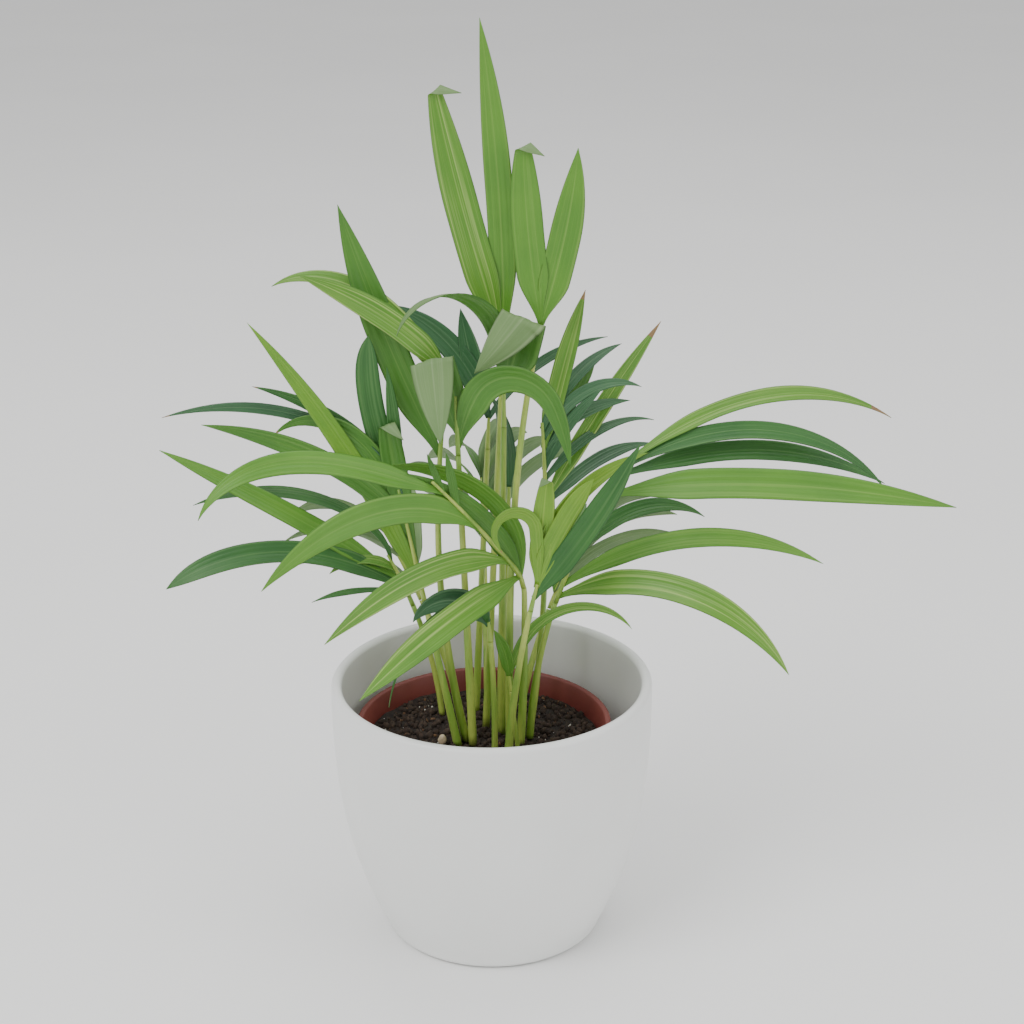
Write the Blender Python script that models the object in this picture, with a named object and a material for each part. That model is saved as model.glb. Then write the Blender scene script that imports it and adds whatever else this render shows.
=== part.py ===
"""A young areca palm in a brown growing pot that stands in a smooth round cover pot.

Metres, +Z up. The origin is at the middle of the cover pot's flat underside.
Named lengths are in millimetres and angles in degrees until a mesh is made.

Every stem, rachis and leaflet follows one rule, walk(): it sets out at a heading and a climb,
droops towards the ground as it grows, and may fold over where the leaf is kinked.
Headings are compass angles seen from above: 0 right, 90 back, 180 left, -90 front.
"""
import math
from dataclasses import dataclass

import bmesh
import bpy
import numpy as np

MM = 0.001
GAP = 0.3

# Cover pot: a rounded cup that narrows to a flat foot
POT_HEIGHT = 126.0
POT_RIM_RADIUS = 75.0
POT_FOOT_RADIUS = 50.0
POT_WALL = 5.0
POT_FLOOR = 6.0
POT_SWELL = 2.7
POT_CORNER = 5.0
POT_SIDES = 56

# Growing pot: thin brown plastic, a little off the middle of the cover pot
GROW_CENTRE = (-4.0, -1.0)
GROW_RIM_RADIUS = 60.0
GROW_RIM_HEIGHT = 104.0
GROW_BASE_RADIUS = 38.0
GROW_WALL = 1.2
GROW_LIP = 1.6
GROW_LIP_DEPTH = 8.0
GROW_SIDES = 44

# Soil: fills the growing pot to a flat top, just below its rim
SOIL_TOP = 95.0

# Stems and rachises
STEM_SIDES = 6
STEM_STATIONS = 9
RACHIS_STATIONS = 9
RACHIS_END_RADIUS = 0.75
WALK_STEPS = 60

# Leaflets
LEAF_STATIONS = 10
LEAF_THICKNESS_SHARE = 0.0105
LEAF_LEAST_THICKNESS = 0.9
LEAF_ROOT_WIDTH = 2.6
LEAF_BROAD_FROM = 0.26
LEAF_BROAD_TO = 0.50
FOLD_RADIUS = 2.4

# Hidden back fronds: where their first pair of leaflets sits and how far it spreads
BACK_FIRST_PAIR = 0.70
BACK_SPREAD = 50.0


@dataclass(frozen=True)
class Fold:
    """A kink across a leaflet: where it is, how far it turns to its upper side, and its crease's slant."""

    at: float
    turn: float
    slant: float = 0.0


@dataclass(frozen=True)
class Leaf:
    """One leaflet, from its root on the rachis to its tip."""

    at: float
    heading: float
    climb: float
    length: float
    width: float
    droop: float = 0.0
    face: float = 0.0
    late: float = 1.0
    sway: float = 0.0
    twist: float = 0.0
    blunt: float = 0.0
    knee: tuple | None = None
    fold: Fold | None = None


@dataclass(frozen=True)
class Frond:
    """One stem with the frond that it carries: the frond's own piece begins at the fraction `opens`."""

    name: str
    foot: tuple
    heading: float
    climb: float
    length: float
    opens: float
    leaves: tuple
    droop: float = 0.0
    late: float = 1.0
    knee: tuple | None = None
    foot_radius: float = 2.2
    neck_radius: float = 1.3


TALL_LEFT = Frond(
    "tall_left", foot=(-3, 10), heading=10, climb=87, length=190, opens=0.93, foot_radius=2.0,
    leaves=(
        Leaf(1.0, 180, 72, 130, 15, droop=-8, face=88, fold=Fold(0.90, 150, -35)),
        Leaf(1.0, 178, 92, 143, 12, droop=10, face=88, late=0.8),
    ),
)

TALL_RIGHT = Frond(
    "tall_right", foot=(8, -6), heading=40, climb=90, length=201, droop=17, late=2.0, opens=0.93,
    foot_radius=2.0,
    leaves=(
        Leaf(1.0, 175, 78, 92, 14, droop=-12, face=88, late=0.7, fold=Fold(0.88, 150, -30)),
        Leaf(1.0, 5, 73, 80, 14, droop=-13, face=88, late=1.5),
    ),
)

CURL_BACK = Frond(
    "curl_back", foot=(4, 2), heading=20, climb=89, length=170, opens=0.9,
    leaves=(
        Leaf(1.0, 205, 98, 93, 12, droop=170, late=1.5, face=50, twist=-60),
        Leaf(1.0, -30, 69, 72, 20, droop=-16, face=85, fold=Fold(0.54, 165, 14)),
    ),
)

CURL_FRONT = Frond(
    "curl_front", foot=(-9, -8), heading=200, climb=88, length=172, opens=0.84,
    leaves=(
        Leaf(0.90, 180, 71, 76, 19, droop=-8, face=85, fold=Fold(0.50, 165, 5)),
        Leaf(0.86, -20, 78, 98, 14, droop=60, face=70, knee=(0.50, 100, 0.45)),
    ),
)

DARK_CENTRE = Frond(
    "dark_centre", foot=(-8, 26), heading=0, climb=87, length=150, opens=0.9, foot_radius=2.0,
    leaves=(
        Leaf(1.0, 165, 74, 72, 11, droop=58, face=45, late=1.2),
        Leaf(1.0, 150, 69, 52, 10, droop=-10, face=60),
        Leaf(1.0, 15, 55, 69, 5, droop=53, face=30, late=1.2),
    ),
)

BENT_YOUNG = Frond(
    "bent_young", foot=(5, 19), heading=20, climb=88, length=118, opens=0.9, foot_radius=1.6,
    leaves=(
        Leaf(1.0, 180, 89, 58, 9, droop=70, face=85, late=3.0, twist=-90),
    ),
)

LEFT_TALL = Frond(
    "left_tall", foot=(-12, -4), heading=170, climb=77, length=180, droop=-22, opens=0.76,
    leaves=(
        Leaf(0.79, 170, 64, 121, 15, droop=-10, face=75),
        Leaf(0.97, 170, 59, 100, 9, droop=90, face=45, late=2.0),
        Leaf(1.0, 185, 62, 81, 11, droop=40, face=60, late=0.6),
    ),
)

LEFT_LIGHT = Frond(
    "left_light", foot=(-16, -8), heading=180, climb=79, length=130, opens=0.57,
    leaves=(
        Leaf(0.62, 185, 69, 148, 9, droop=17, face=70),
        Leaf(0.70, 180, 77, 110, 9, droop=126, face=50, late=2.8),
        Leaf(0.95, 175, 106, 127, 6, droop=123, face=40, late=0.45),
        Leaf(0.98, 170, 90, 86, 6, droop=80, face=50, late=0.5),
        Leaf(0.82, 190, 78, 112, 9, droop=66, face=35, late=0.5),
        Leaf(0.98, 160, 69, 75, 11, droop=-30, face=80, late=1.8, blunt=1.0),
        Leaf(1.0, 150, 89, 57, 6, droop=7, face=80),
        Leaf(0.88, 180, 79, 60, 11, droop=-5, face=85, fold=Fold(0.80, 140, -20)),
    ),
)

LEFT_LOW = Frond(
    "left_low", foot=(-24, 24), heading=180, climb=85, length=87, droop=22, opens=0.68, foot_radius=1.5,
    leaves=(
        Leaf(0.84, 180, 35, 128, 11, droop=8, face=35),
        Leaf(0.78, 190, 38, 120, 11, droop=72, face=40, late=1.2, blunt=1.0),
        Leaf(0.90, 185, 45, 35, 5, droop=90, face=30),
        Leaf(0.74, 205, 27, 50, 4, droop=40, face=20),
        Leaf(0.97, 170, 112, 110, 8, droop=136, face=30, late=0.4),
    ),
)

FRONT_LEFT = Frond(
    "front_left", foot=(13, -8), heading=215, climb=95, length=158, droop=12, knee=(0.53, 36, 0.10), opens=0.50,
    leaves=(
        Leaf(0.95, 200, 24, 120, 11, droop=88, face=45, late=2.8),
        Leaf(0.76, 215, 49, 122, 13, droop=88, face=45, late=0.8),
        Leaf(0.60, 225, 36, 115, 11, droop=60, face=45, late=0.6),
        Leaf(0.54, 235, 0, 120, 13, droop=14, face=50),
        Leaf(0.54, 198, 108, 102, 9, droop=110, face=60, late=0.7),
        Leaf(0.53, 210, 72, 86, 10, droop=44, face=60, late=0.8),
        Leaf(0.88, 200, 80, 26, 4, face=85),
        Leaf(0.95, 200, 70, 20, 3, face=85),
    ),
)

YOUNG_CENTRE = Frond(
    "young_centre", foot=(7, -22), heading=-10, climb=86, length=89, droop=10, opens=0.85,
    leaves=(
        Leaf(1.0, 190, 93, 66, 6, face=70, droop=20, knee=(0.66, 190, 0.5)),
        Leaf(1.0, 30, 84, 58, 10, face=88, fold=Fold(0.86, 120, 20)),
        Leaf(0.98, 0, 76, 58, 9, droop=24, face=75, blunt=0.6),
        Leaf(0.92, -10, 53, 89, 11, droop=-10, face=60),
        Leaf(1.0, 14, 90, 83, 8, droop=78, face=50, late=0.9),
    ),
)

RIGHT = Frond(
    "right", foot=(17.6, -2), heading=0, climb=88, length=150, droop=33, opens=0.47, foot_radius=2.0,
    leaves=(
        Leaf(1.0, 15, 32, 133, 8, droop=66, face=40, late=1.3),
        Leaf(0.97, 5, 28, 130, 9, droop=78, face=40, late=1.2),
        Leaf(0.93, 10, 16, 130, 10, droop=48, face=45, late=1.2),
        Leaf(0.85, -10, 22, 156, 14, droop=31, face=55, late=0.5),
        Leaf(0.65, 20, 43, 71, 8, droop=82, face=40, late=1.3),
        Leaf(0.53, -5, 36, 126, 9, droop=64, face=50, late=1.2),
        Leaf(0.49, -25, 30, 125, 12, droop=86, face=45, late=1.2),
    ),
)

RIGHT_BACK = Frond(
    "right_back", foot=(18, 5), heading=40, climb=79, length=153, droop=-16, opens=0.66, foot_radius=1.6,
    leaves=(
        Leaf(0.92, 40, 74, 74, 9, droop=8, face=80),
        Leaf(0.75, 35, 52, 100, 8, droop=8, face=70),
        Leaf(0.92, 45, 46, 50, 7, face=80, blunt=0.6),
        Leaf(0.95, 20, 60, 58, 6, droop=88, face=45, late=1.3),
        Leaf(0.90, 25, 78, 52, 6, droop=86, face=40, late=0.6),
        Leaf(0.82, 30, 42, 66, 5, droop=62, face=30, late=1.5),
        Leaf(0.74, 40, 30, 73, 7, droop=45, face=40, late=1.4),
        Leaf(0.98, 40, 60, 60, 6, droop=55, face=50),
        Leaf(0.85, 10, 78, 46, 6, droop=40, face=60, late=0.7),
    ),
)

SEEDLING = Frond(
    "seedling", foot=(12, -14), heading=180, climb=84, length=38, opens=0.8, foot_radius=1.2, neck_radius=0.9,
    leaves=(
        Leaf(1.0, -5, 76, 79, 5, droop=131, face=50, late=1.5),
        Leaf(1.0, 190, 88, 25, 6, droop=28, face=70),
    ),
)

LOW_DARK = Frond(
    "low_dark", foot=(1, -15), heading=200, climb=91, length=66, droop=6, opens=0.85, foot_radius=1.6,
    leaves=(
        Leaf(1.0, 230, 68, 90, 7, droop=145, face=40, late=0.8),
        Leaf(0.97, 200, 66, 46, 12, droop=124, face=60, late=1.3),
    ),
)


def back_frond(name, foot, heading, climb, length, pairs, reach):
    """A frond of the hidden back: even pairs of leaflets that shorten towards the tip."""
    leaves = []
    for pair in range(pairs):
        at = BACK_FIRST_PAIR + (1.0 - BACK_FIRST_PAIR) * pair / (pairs - 1)
        spread = BACK_SPREAD * (1 - 0.6 * pair / (pairs - 1))
        for side in (-1, 1):
            leaves.append(Leaf(
                at, heading + side * spread, 52 - 8 * side, reach * (1 - 0.12 * pair), 11,
                droop=72 + 6 * pair, face=-35, late=1.2,
            ))
    return Frond(
        name, foot=foot, heading=heading, climb=climb, length=length, droop=24, opens=0.6,
        foot_radius=1.8, leaves=tuple(leaves),
    )


BACK_LEFT = back_frond("back_left", (-16, 34), 144, 74, 92, 3, 70)
BACK_MIDDLE = back_frond("back_middle", (-2, 42), 92, 68, 112, 4, 78)
BACK_RIGHT = back_frond("back_right", (14, 30), 44, 74, 84, 3, 74)

FRONDS = (
    TALL_LEFT, TALL_RIGHT, CURL_BACK, CURL_FRONT, DARK_CENTRE, BENT_YOUNG, LEFT_TALL, LEFT_LIGHT,
    LEFT_LOW, FRONT_LEFT, YOUNG_CENTRE, RIGHT, RIGHT_BACK, SEEDLING, LOW_DARK,
    BACK_LEFT, BACK_MIDDLE, BACK_RIGHT,
)


def turned(vector, axis, angle):
    """The vector turned about a unit axis by an angle in radians."""
    across = np.cross(axis, vector)
    return vector * math.cos(angle) + across * math.sin(angle) + axis * np.dot(axis, vector) * (1 - math.cos(angle))


def first_frame(heading, climb, face):
    """Direction, upper side and width of a leaflet at its root."""
    plan, rise, side = math.radians(heading), math.radians(climb), math.radians(face)
    ahead = np.array([math.cos(rise) * math.cos(plan), math.cos(rise) * math.sin(plan), math.sin(rise)])
    wanted = np.array([0.0, -math.sin(side), math.cos(side)])
    upper = wanted - ahead * np.dot(wanted, ahead)
    upper /= np.linalg.norm(upper)
    return ahead, upper, np.cross(upper, ahead)


def level_axis(course, ahead, fraction):
    """The level axis that a droop turns about: square to the heading, or past a fold to the way it hangs."""
    fold = getattr(course, "fold", None)
    if fold and fraction > fold.at:
        across = np.array([-ahead[1], ahead[0], 0.0])
        return across / max(np.linalg.norm(across), 0.1)
    plan = math.radians(course.heading + getattr(course, "sway", 0.0) * fraction)
    return np.array([-math.sin(plan), math.cos(plan), 0.0])


def share_of_span(start, end, middle, span):
    """How much of a short span about its middle lies between two fractions of the way."""
    inside = min(end, middle + span / 2) - max(start, middle - span / 2)
    return max(0.0, inside) / span


def walk(root, course, stations):
    """Points and frames along a stem, rachis or leaflet, at rising fractions of its length.

    The course has heading, climb, length and droop, and may have face, late, sway, twist,
    knee (where, degrees of droop, over what share of the length) and fold.
    """
    frame = first_frame(course.heading, course.climb, getattr(course, "face", 0.0))
    point = np.array(root, float)
    sky = np.array([0.0, 0.0, 1.0])
    fold = getattr(course, "fold", None)
    knee = getattr(course, "knee", None)
    sway = getattr(course, "sway", 0.0)
    twist = getattr(course, "twist", 0.0)
    marks = [(point, *frame)]
    for near, far in zip(stations[:-1], stations[1:]):
        steps = max(1, math.ceil((far - near) * WALK_STEPS))
        for step in range(steps):
            start = near + (far - near) * step / steps
            end = near + (far - near) * (step + 1) / steps
            bend = course.droop * (end ** course.late - start ** course.late)
            if knee:
                bend += knee[1] * share_of_span(start, end, knee[0], knee[2])
            frame = [turned(v, level_axis(course, frame[0], end), math.radians(bend)) for v in frame]
            frame = [turned(v, sky, math.radians(sway * (end - start))) for v in frame]
            frame = [turned(v, frame[0], math.radians(twist * (end - start))) for v in frame]
            if fold:
                span = math.radians(abs(fold.turn)) * FOLD_RADIUS / course.length
                angle = -math.radians(fold.turn) * share_of_span(start, end, fold.at, span)
                slant = math.radians(fold.slant)
                crease = frame[2] * math.cos(slant) + frame[0] * math.sin(slant)
                frame = [turned(v, crease, angle) for v in frame]
            point = point + frame[0] * course.length * (end - start)
        marks.append((point, *frame))
    return marks


def stem_radius(frond, fraction):
    """Radius of the stem and rachis: an even taper to the neck, then to the rachis's fine end."""
    if fraction < frond.opens:
        return frond.foot_radius + (frond.neck_radius - frond.foot_radius) * fraction / frond.opens
    past = (fraction - frond.opens) / (1.0 - frond.opens)
    return frond.neck_radius + (RACHIS_END_RADIUS - frond.neck_radius) * past


def frond_course(frond, fractions):
    """Points and frames of a frond's stem and rachis at the given fractions of its whole length."""
    root = (frond.foot[0], frond.foot[1], SOIL_TOP + GAP)
    return walk(root, frond, fractions)


def tube_rings(frond, fractions, flat_foot):
    """Rings of the stem or rachis between the fractions; a foot that stands on the soil is cut level."""
    lead_in = [0.0] if fractions[0] > 0 else []
    marks = frond_course(frond, lead_in + list(fractions))[len(lead_in):]
    rings = []
    for fraction, (point, ahead, upper, width) in zip(fractions, marks):
        radius = stem_radius(frond, fraction)
        ring = []
        for side in range(STEM_SIDES):
            angle = 2 * math.pi * side / STEM_SIDES
            ring.append(point + radius * (width * math.cos(angle) - upper * math.sin(angle)))
        rings.append(np.array(ring))
    if flat_foot:
        rings[0][:, 2] = SOIL_TOP + GAP
    return rings


def leaf_outline(leaf, fraction):
    """Half width of the blade at a fraction of its length."""
    if fraction < LEAF_BROAD_FROM:
        part = fraction / LEAF_BROAD_FROM
        ease = part * part * (3 - 2 * part)
        return (LEAF_ROOT_WIDTH + (leaf.width - LEAF_ROOT_WIDTH) * ease) / 2
    if fraction < LEAF_BROAD_TO:
        return leaf.width / 2
    part = (fraction - LEAF_BROAD_TO) / (1 - LEAF_BROAD_TO)
    return leaf.width / 2 * max(0.03, 1 - part ** (2.0 + 3.0 * leaf.blunt))


def leaf_stations(leaf):
    """Fractions at which a blade has a ring, with a few more round a fold."""
    stations = list(np.linspace(0.0, 1.0, LEAF_STATIONS))
    if leaf.fold:
        half = math.radians(abs(leaf.fold.turn)) * FOLD_RADIUS / leaf.length / 2
        crease = [leaf.fold.at + half * share for share in (-1.0, -0.33, 0.33, 1.0)]
        stations = [s for s in stations if s < crease[0] - 0.03 or s > crease[-1] + 0.03]
        stations = sorted(stations + crease)
    return stations


def leaf_rings(leaf, root):
    """Four-cornered rings of a blade: two edges and the two sides of its middle."""
    stations = leaf_stations(leaf)
    thickness = max(LEAF_LEAST_THICKNESS, leaf.length * LEAF_THICKNESS_SHARE)
    rings = []
    for fraction, (point, ahead, upper, width) in zip(stations, walk(root, leaf, stations)):
        half_width = leaf_outline(leaf, fraction)
        half_thick = min(thickness / 2, half_width)
        rings.append(np.array([
            point - width * half_width,
            point + upper * half_thick,
            point + width * half_width,
            point - upper * half_thick,
        ]))
    return rings


def leaf_root(frond, leaf):
    """The point on the rachis's middle line where a leaflet is rooted."""
    return frond_course(frond, [0.0, leaf.at])[-1][0]


def skin(bm, rings):
    """A closed tube of faces through the rings, with a flat face at each end."""
    loops = [[bm.verts.new(corner * MM) for corner in ring] for ring in rings]
    for near, far in zip(loops[:-1], loops[1:]):
        for side in range(len(near)):
            after = (side + 1) % len(near)
            bm.faces.new((near[side], near[after], far[after], far[side]))
    bm.faces.new(list(reversed(loops[0])))
    bm.faces.new(loops[-1])


def finish_object(name, bm, material, sharp_degrees=40.0):
    """Make the named object from a bmesh, shaded smooth over its gentle angles."""
    bmesh.ops.recalc_face_normals(bm, faces=bm.faces)
    mesh = bpy.data.meshes.new(name)
    bm.to_mesh(mesh)
    bm.free()
    mesh.shade_smooth()
    mesh.set_sharp_from_angle(angle=math.radians(sharp_degrees))
    mesh.materials.append(material)
    obj = bpy.data.objects.new(name, mesh)
    bpy.context.scene.collection.objects.link(obj)
    return obj


def finish(name, colour, roughness, metallic=0.0):
    """A plain Principled material."""
    material = bpy.data.materials.new(name)
    material.use_nodes = True
    shader = material.node_tree.nodes["Principled BSDF"]
    shader.inputs["Base Color"].default_value = (*colour, 1.0)
    shader.inputs["Roughness"].default_value = roughness
    shader.inputs["Metallic"].default_value = metallic
    return material


def turn_profile(name, profile, sides, centre, material):
    """Turn a profile of (radius, height) points, in order from the top's middle down the outer side."""
    bm = bmesh.new()
    rings = []
    for radius, height in profile:
        if radius < 0.01:
            rings.append([bm.verts.new((centre[0] * MM, centre[1] * MM, height * MM))])
            continue
        ring = []
        for side in range(sides):
            angle = 2 * math.pi * side / sides
            x = centre[0] + radius * math.cos(angle)
            y = centre[1] + radius * math.sin(angle)
            ring.append(bm.verts.new((x * MM, y * MM, height * MM)))
        rings.append(ring)
    for upper, lower in zip(rings[:-1], rings[1:]):
        for side in range(sides):
            after = (side + 1) % sides
            corners = [upper[side % len(upper)], lower[side % len(lower)]]
            corners += [lower[after % len(lower)], upper[after % len(upper)]]
            bm.faces.new(list(dict.fromkeys(corners)))
    return finish_object(name, bm, material)


def pot_outer_radius(height):
    """Outer radius of the cover pot: it swells quickly above the foot and then runs up almost straight."""
    part = height / POT_HEIGHT
    return POT_FOOT_RADIUS + (POT_RIM_RADIUS - POT_FOOT_RADIUS) * (1 - (1 - part) ** POT_SWELL)


def make_pot(material):
    """The cover pot, with a rounded lip, a smooth floor and a rounded corner at its foot."""
    lip = POT_WALL / 2
    floor = POT_FLOOR
    profile = [(0.0, floor), (pot_outer_radius(floor) - POT_WALL - 5.0, floor)]
    for height in (floor + 2.0, 20.0, 36.0, 60.0, 90.0, POT_HEIGHT - lip):
        profile.append((pot_outer_radius(height) - POT_WALL, height))
    for degrees in (135, 90, 45):
        angle = math.radians(degrees)
        middle = pot_outer_radius(POT_HEIGHT - lip) - lip
        profile.append((middle + lip * math.cos(angle), POT_HEIGHT - lip + lip * math.sin(angle)))
    for height in (POT_HEIGHT - lip, 100.0, 76.0, 56.0, 40.0, 26.0, 14.0, POT_CORNER):
        profile.append((pot_outer_radius(height), height))
    corner_middle = pot_outer_radius(POT_CORNER) - POT_CORNER
    for degrees in (30, 60, 90):
        angle = math.radians(degrees)
        profile.append((
            corner_middle + POT_CORNER * math.cos(angle),
            POT_CORNER * (1 - math.sin(angle)),
        ))
    profile.append((0.0, 0.0))
    return turn_profile("pot", profile, POT_SIDES, (0.0, 0.0), material)


def grow_radius(height):
    """Outer radius of the growing pot's straight slanting wall."""
    low = POT_FLOOR + GAP
    part = (height - low) / (GROW_RIM_HEIGHT - low)
    return GROW_BASE_RADIUS + (GROW_RIM_RADIUS - GROW_LIP - GROW_BASE_RADIUS) * part


def make_grow_pot(material):
    """The growing pot: a thin slanting wall with a thicker lip, standing on the cover pot's floor."""
    low = POT_FLOOR + GAP
    lip_foot = GROW_RIM_HEIGHT - GROW_LIP_DEPTH
    profile = [
        (0.0, low + GROW_WALL),
        (GROW_BASE_RADIUS - GROW_WALL, low + GROW_WALL),
        (grow_radius(lip_foot) - GROW_WALL, lip_foot),
        (grow_radius(GROW_RIM_HEIGHT) - GROW_WALL, GROW_RIM_HEIGHT),
        (GROW_RIM_RADIUS, GROW_RIM_HEIGHT),
        (GROW_RIM_RADIUS - 0.6, lip_foot),
        (grow_radius(lip_foot), lip_foot),
        (GROW_BASE_RADIUS, low),
        (0.0, low),
    ]
    return turn_profile("grow_pot", profile, GROW_SIDES, GROW_CENTRE, material)


def make_soil(material):
    """The soil, clear of the growing pot's wall and floor by the usual gap."""
    low = POT_FLOOR + GAP + GROW_WALL + GAP
    slack = GROW_WALL + GAP * 1.5
    profile = [
        (0.0, SOIL_TOP),
        (grow_radius(SOIL_TOP) - slack, SOIL_TOP),
        (GROW_BASE_RADIUS - slack, low),
        (0.0, low),
    ]
    return turn_profile("soil", profile, GROW_SIDES, GROW_CENTRE, material)


def make_stem(frond, material):
    """The bare stem from the soil up to just below the frond."""
    top = frond.opens - GAP / frond.length
    bm = bmesh.new()
    skin(bm, tube_rings(frond, np.linspace(0.0, top, STEM_STATIONS), flat_foot=True))
    return finish_object(frond.name + "_stem", bm, material)


def joined_mesh(name, pieces):
    """One mesh from overlapping closed pieces, joined by a Boolean union on their collection."""
    first, rest = pieces[0], pieces[1:]
    group = bpy.data.collections.new(name + "_pieces")
    bpy.context.scene.collection.children.link(group)
    for piece in rest:
        bpy.context.scene.collection.objects.unlink(piece)
        group.objects.link(piece)
    union = first.modifiers.new("join", "BOOLEAN")
    union.operation = "UNION"
    union.operand_type = "COLLECTION"
    union.collection = group
    union.solver = "EXACT"
    bpy.context.view_layer.update()
    depsgraph = bpy.context.evaluated_depsgraph_get()
    mesh = bpy.data.meshes.new_from_object(first.evaluated_get(depsgraph))
    for piece in pieces:
        bpy.data.objects.remove(piece, do_unlink=True)
    bpy.data.collections.remove(group)
    return mesh


def keep_main_shell(mesh):
    """Drop the inner faces of hollows that the union sealed, and loose scraps: the largest shell stays."""
    bm = bmesh.new()
    bm.from_mesh(mesh)
    waiting = set(bm.faces)
    shells = []
    while waiting:
        shell, edge_of_search = [], [waiting.pop()]
        while edge_of_search:
            face = edge_of_search.pop()
            shell.append(face)
            for edge in face.edges:
                for other in edge.link_faces:
                    if other in waiting:
                        waiting.remove(other)
                        edge_of_search.append(other)
        shells.append(shell)
    main = max(shells, key=lambda shell: sum(face.calc_area() for face in shell))
    spare = [face for shell in shells if shell is not main for face in shell]
    bmesh.ops.delete(bm, geom=spare, context="FACES")
    bm.to_mesh(mesh)
    bm.free()


def make_frond(frond, material):
    """The frond: its rachis and every leaflet, joined into one solid."""
    bm = bmesh.new()
    skin(bm, tube_rings(frond, np.linspace(frond.opens, 1.0, RACHIS_STATIONS), flat_foot=False))
    pieces = [finish_object(frond.name + "_rachis", bm, material)]
    for number, leaf in enumerate(frond.leaves, start=1):
        bm = bmesh.new()
        skin(bm, leaf_rings(leaf, leaf_root(frond, leaf)))
        pieces.append(finish_object(f"{frond.name}_leaf_{number}", bm, material))
    mesh = joined_mesh(frond.name, pieces)
    keep_main_shell(mesh)
    mesh.name = frond.name + "_frond"
    mesh.shade_smooth()
    mesh.set_sharp_from_angle(angle=math.radians(40.0))
    obj = bpy.data.objects.new(frond.name + "_frond", mesh)
    bpy.context.scene.collection.objects.link(obj)
    return obj


def clear_scene():
    """Remove whatever the scene holds at the start."""
    for obj in list(bpy.data.objects):
        bpy.data.objects.remove(obj, do_unlink=True)


def main():
    """Build the pots, the soil, the stems and the fronds."""
    clear_scene()
    make_pot(finish("pot_glaze", (0.86, 0.88, 0.87), 0.35))
    make_grow_pot(finish("brown_plastic", (0.20, 0.05, 0.04), 0.5))
    make_soil(finish("soil", (0.04, 0.028, 0.022), 0.95))
    stem_green = finish("stem_green", (0.22, 0.36, 0.06), 0.5)
    leaf_green = finish("leaf_green", (0.10, 0.32, 0.03), 0.42)
    for frond in FRONDS:
        make_stem(frond, stem_green)
        make_frond(frond, leaf_green)


if __name__ == "__main__":
    main()
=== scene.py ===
"""The looks of a young areca palm in a brown growing pot inside a smooth off-white cover pot.

Metres, +Z up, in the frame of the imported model. Named lengths are in millimetres and angles in
degrees until a mesh is made. Leaflets and stems follow the same growth rule as the solids.
"""
import logging
import math
from dataclasses import dataclass, field
from enum import Enum

import bmesh
import bpy
import numpy as np
from mathutils import Euler, Matrix, Vector


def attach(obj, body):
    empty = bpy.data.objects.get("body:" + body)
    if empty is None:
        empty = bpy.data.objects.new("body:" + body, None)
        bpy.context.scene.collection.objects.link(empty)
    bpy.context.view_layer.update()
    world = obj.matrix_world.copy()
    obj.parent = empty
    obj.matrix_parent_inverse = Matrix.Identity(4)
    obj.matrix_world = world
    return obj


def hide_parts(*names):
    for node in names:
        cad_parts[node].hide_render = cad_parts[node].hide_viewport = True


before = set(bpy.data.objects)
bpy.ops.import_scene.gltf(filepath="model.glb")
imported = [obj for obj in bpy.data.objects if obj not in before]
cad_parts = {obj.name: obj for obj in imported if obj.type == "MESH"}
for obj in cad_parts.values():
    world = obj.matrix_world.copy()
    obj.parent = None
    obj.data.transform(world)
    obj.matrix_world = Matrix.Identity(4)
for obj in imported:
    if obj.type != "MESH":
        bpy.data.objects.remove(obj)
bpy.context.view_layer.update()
LOG = logging.getLogger("palm")

MM = 0.001
GAP = 0.3
SEED = 7

# Sizes shared with the solids
POT_HEIGHT = 126.0
POT_RIM_RADIUS = 75.0
POT_FOOT_RADIUS = 50.0
POT_WALL = 5.0
POT_FLOOR = 6.0
POT_SWELL = 2.7
POT_CORNER = 5.0
GROW_CENTRE = (-4.0, -1.0)
GROW_RIM_RADIUS = 60.0
GROW_RIM_HEIGHT = 104.0
GROW_BASE_RADIUS = 38.0
GROW_WALL = 1.2
GROW_LIP = 1.6
GROW_LIP_DEPTH = 8.0
SOIL_TOP = 95.0
RACHIS_END_RADIUS = 0.75
WALK_STEPS = 60
LEAF_ROOT_WIDTH = 2.6
LEAF_BROAD_FROM = 0.26
LEAF_BROAD_TO = 0.50
FOLD_RADIUS = 2.4
TIP_SHARE = 0.015
TIP_POWER = 2.0
BLUNT_POWER = 3.0

# The hidden back's fronds: how their pairs of leaflets spread, climb, shorten and droop
BACK_FIRST_PAIR = 0.70
BACK_SPREAD = 50.0
BACK_SPREAD_LOSS = 0.6
BACK_CLIMB = 52
BACK_CLIMB_SIDE = 8
BACK_SHORTER = 0.12
BACK_WIDTH = 11
BACK_DROOP = 72
BACK_DROOP_MORE = 6

# Fineness and relief of the blades
BLADE_STATIONS = 34
BLADE_STRIPS = 16
BLADE_THICKNESS = 0.36
FOLD_STATIONS = 9
FOLD_MARGIN = 0.01
RELIEF_EASE = 4.0
PLEATS = 5
PLEAT_DEPTH = 0.16
KEEL_SLOPE = 0.16
RIPPLE_DEPTH = 0.35
RIPPLE_WAVES = 9
RIPPLE_SKEW = 2.2
EDGE_THINNING = 0.55

# A leaflet's place across its UV map is its number plus a share just inside 0 to 1
UV_MARGIN = 0.001
UV_SHARE = 0.998
UV_LENGTH = 100.0

# Fineness and relief of the stalks
STALK_SIDES = 14
STALK_STATIONS = 28
RACHIS_STATIONS = 20
GROOVE_DEPTH = 0.18
FIBRE_RIDGES = 5
RIDGE_DEPTH = 0.04
RIDGE_TURN = 3
TUBE_UV_COLUMNS = 7
TUBE_UV_STEP = 0.1


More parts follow.
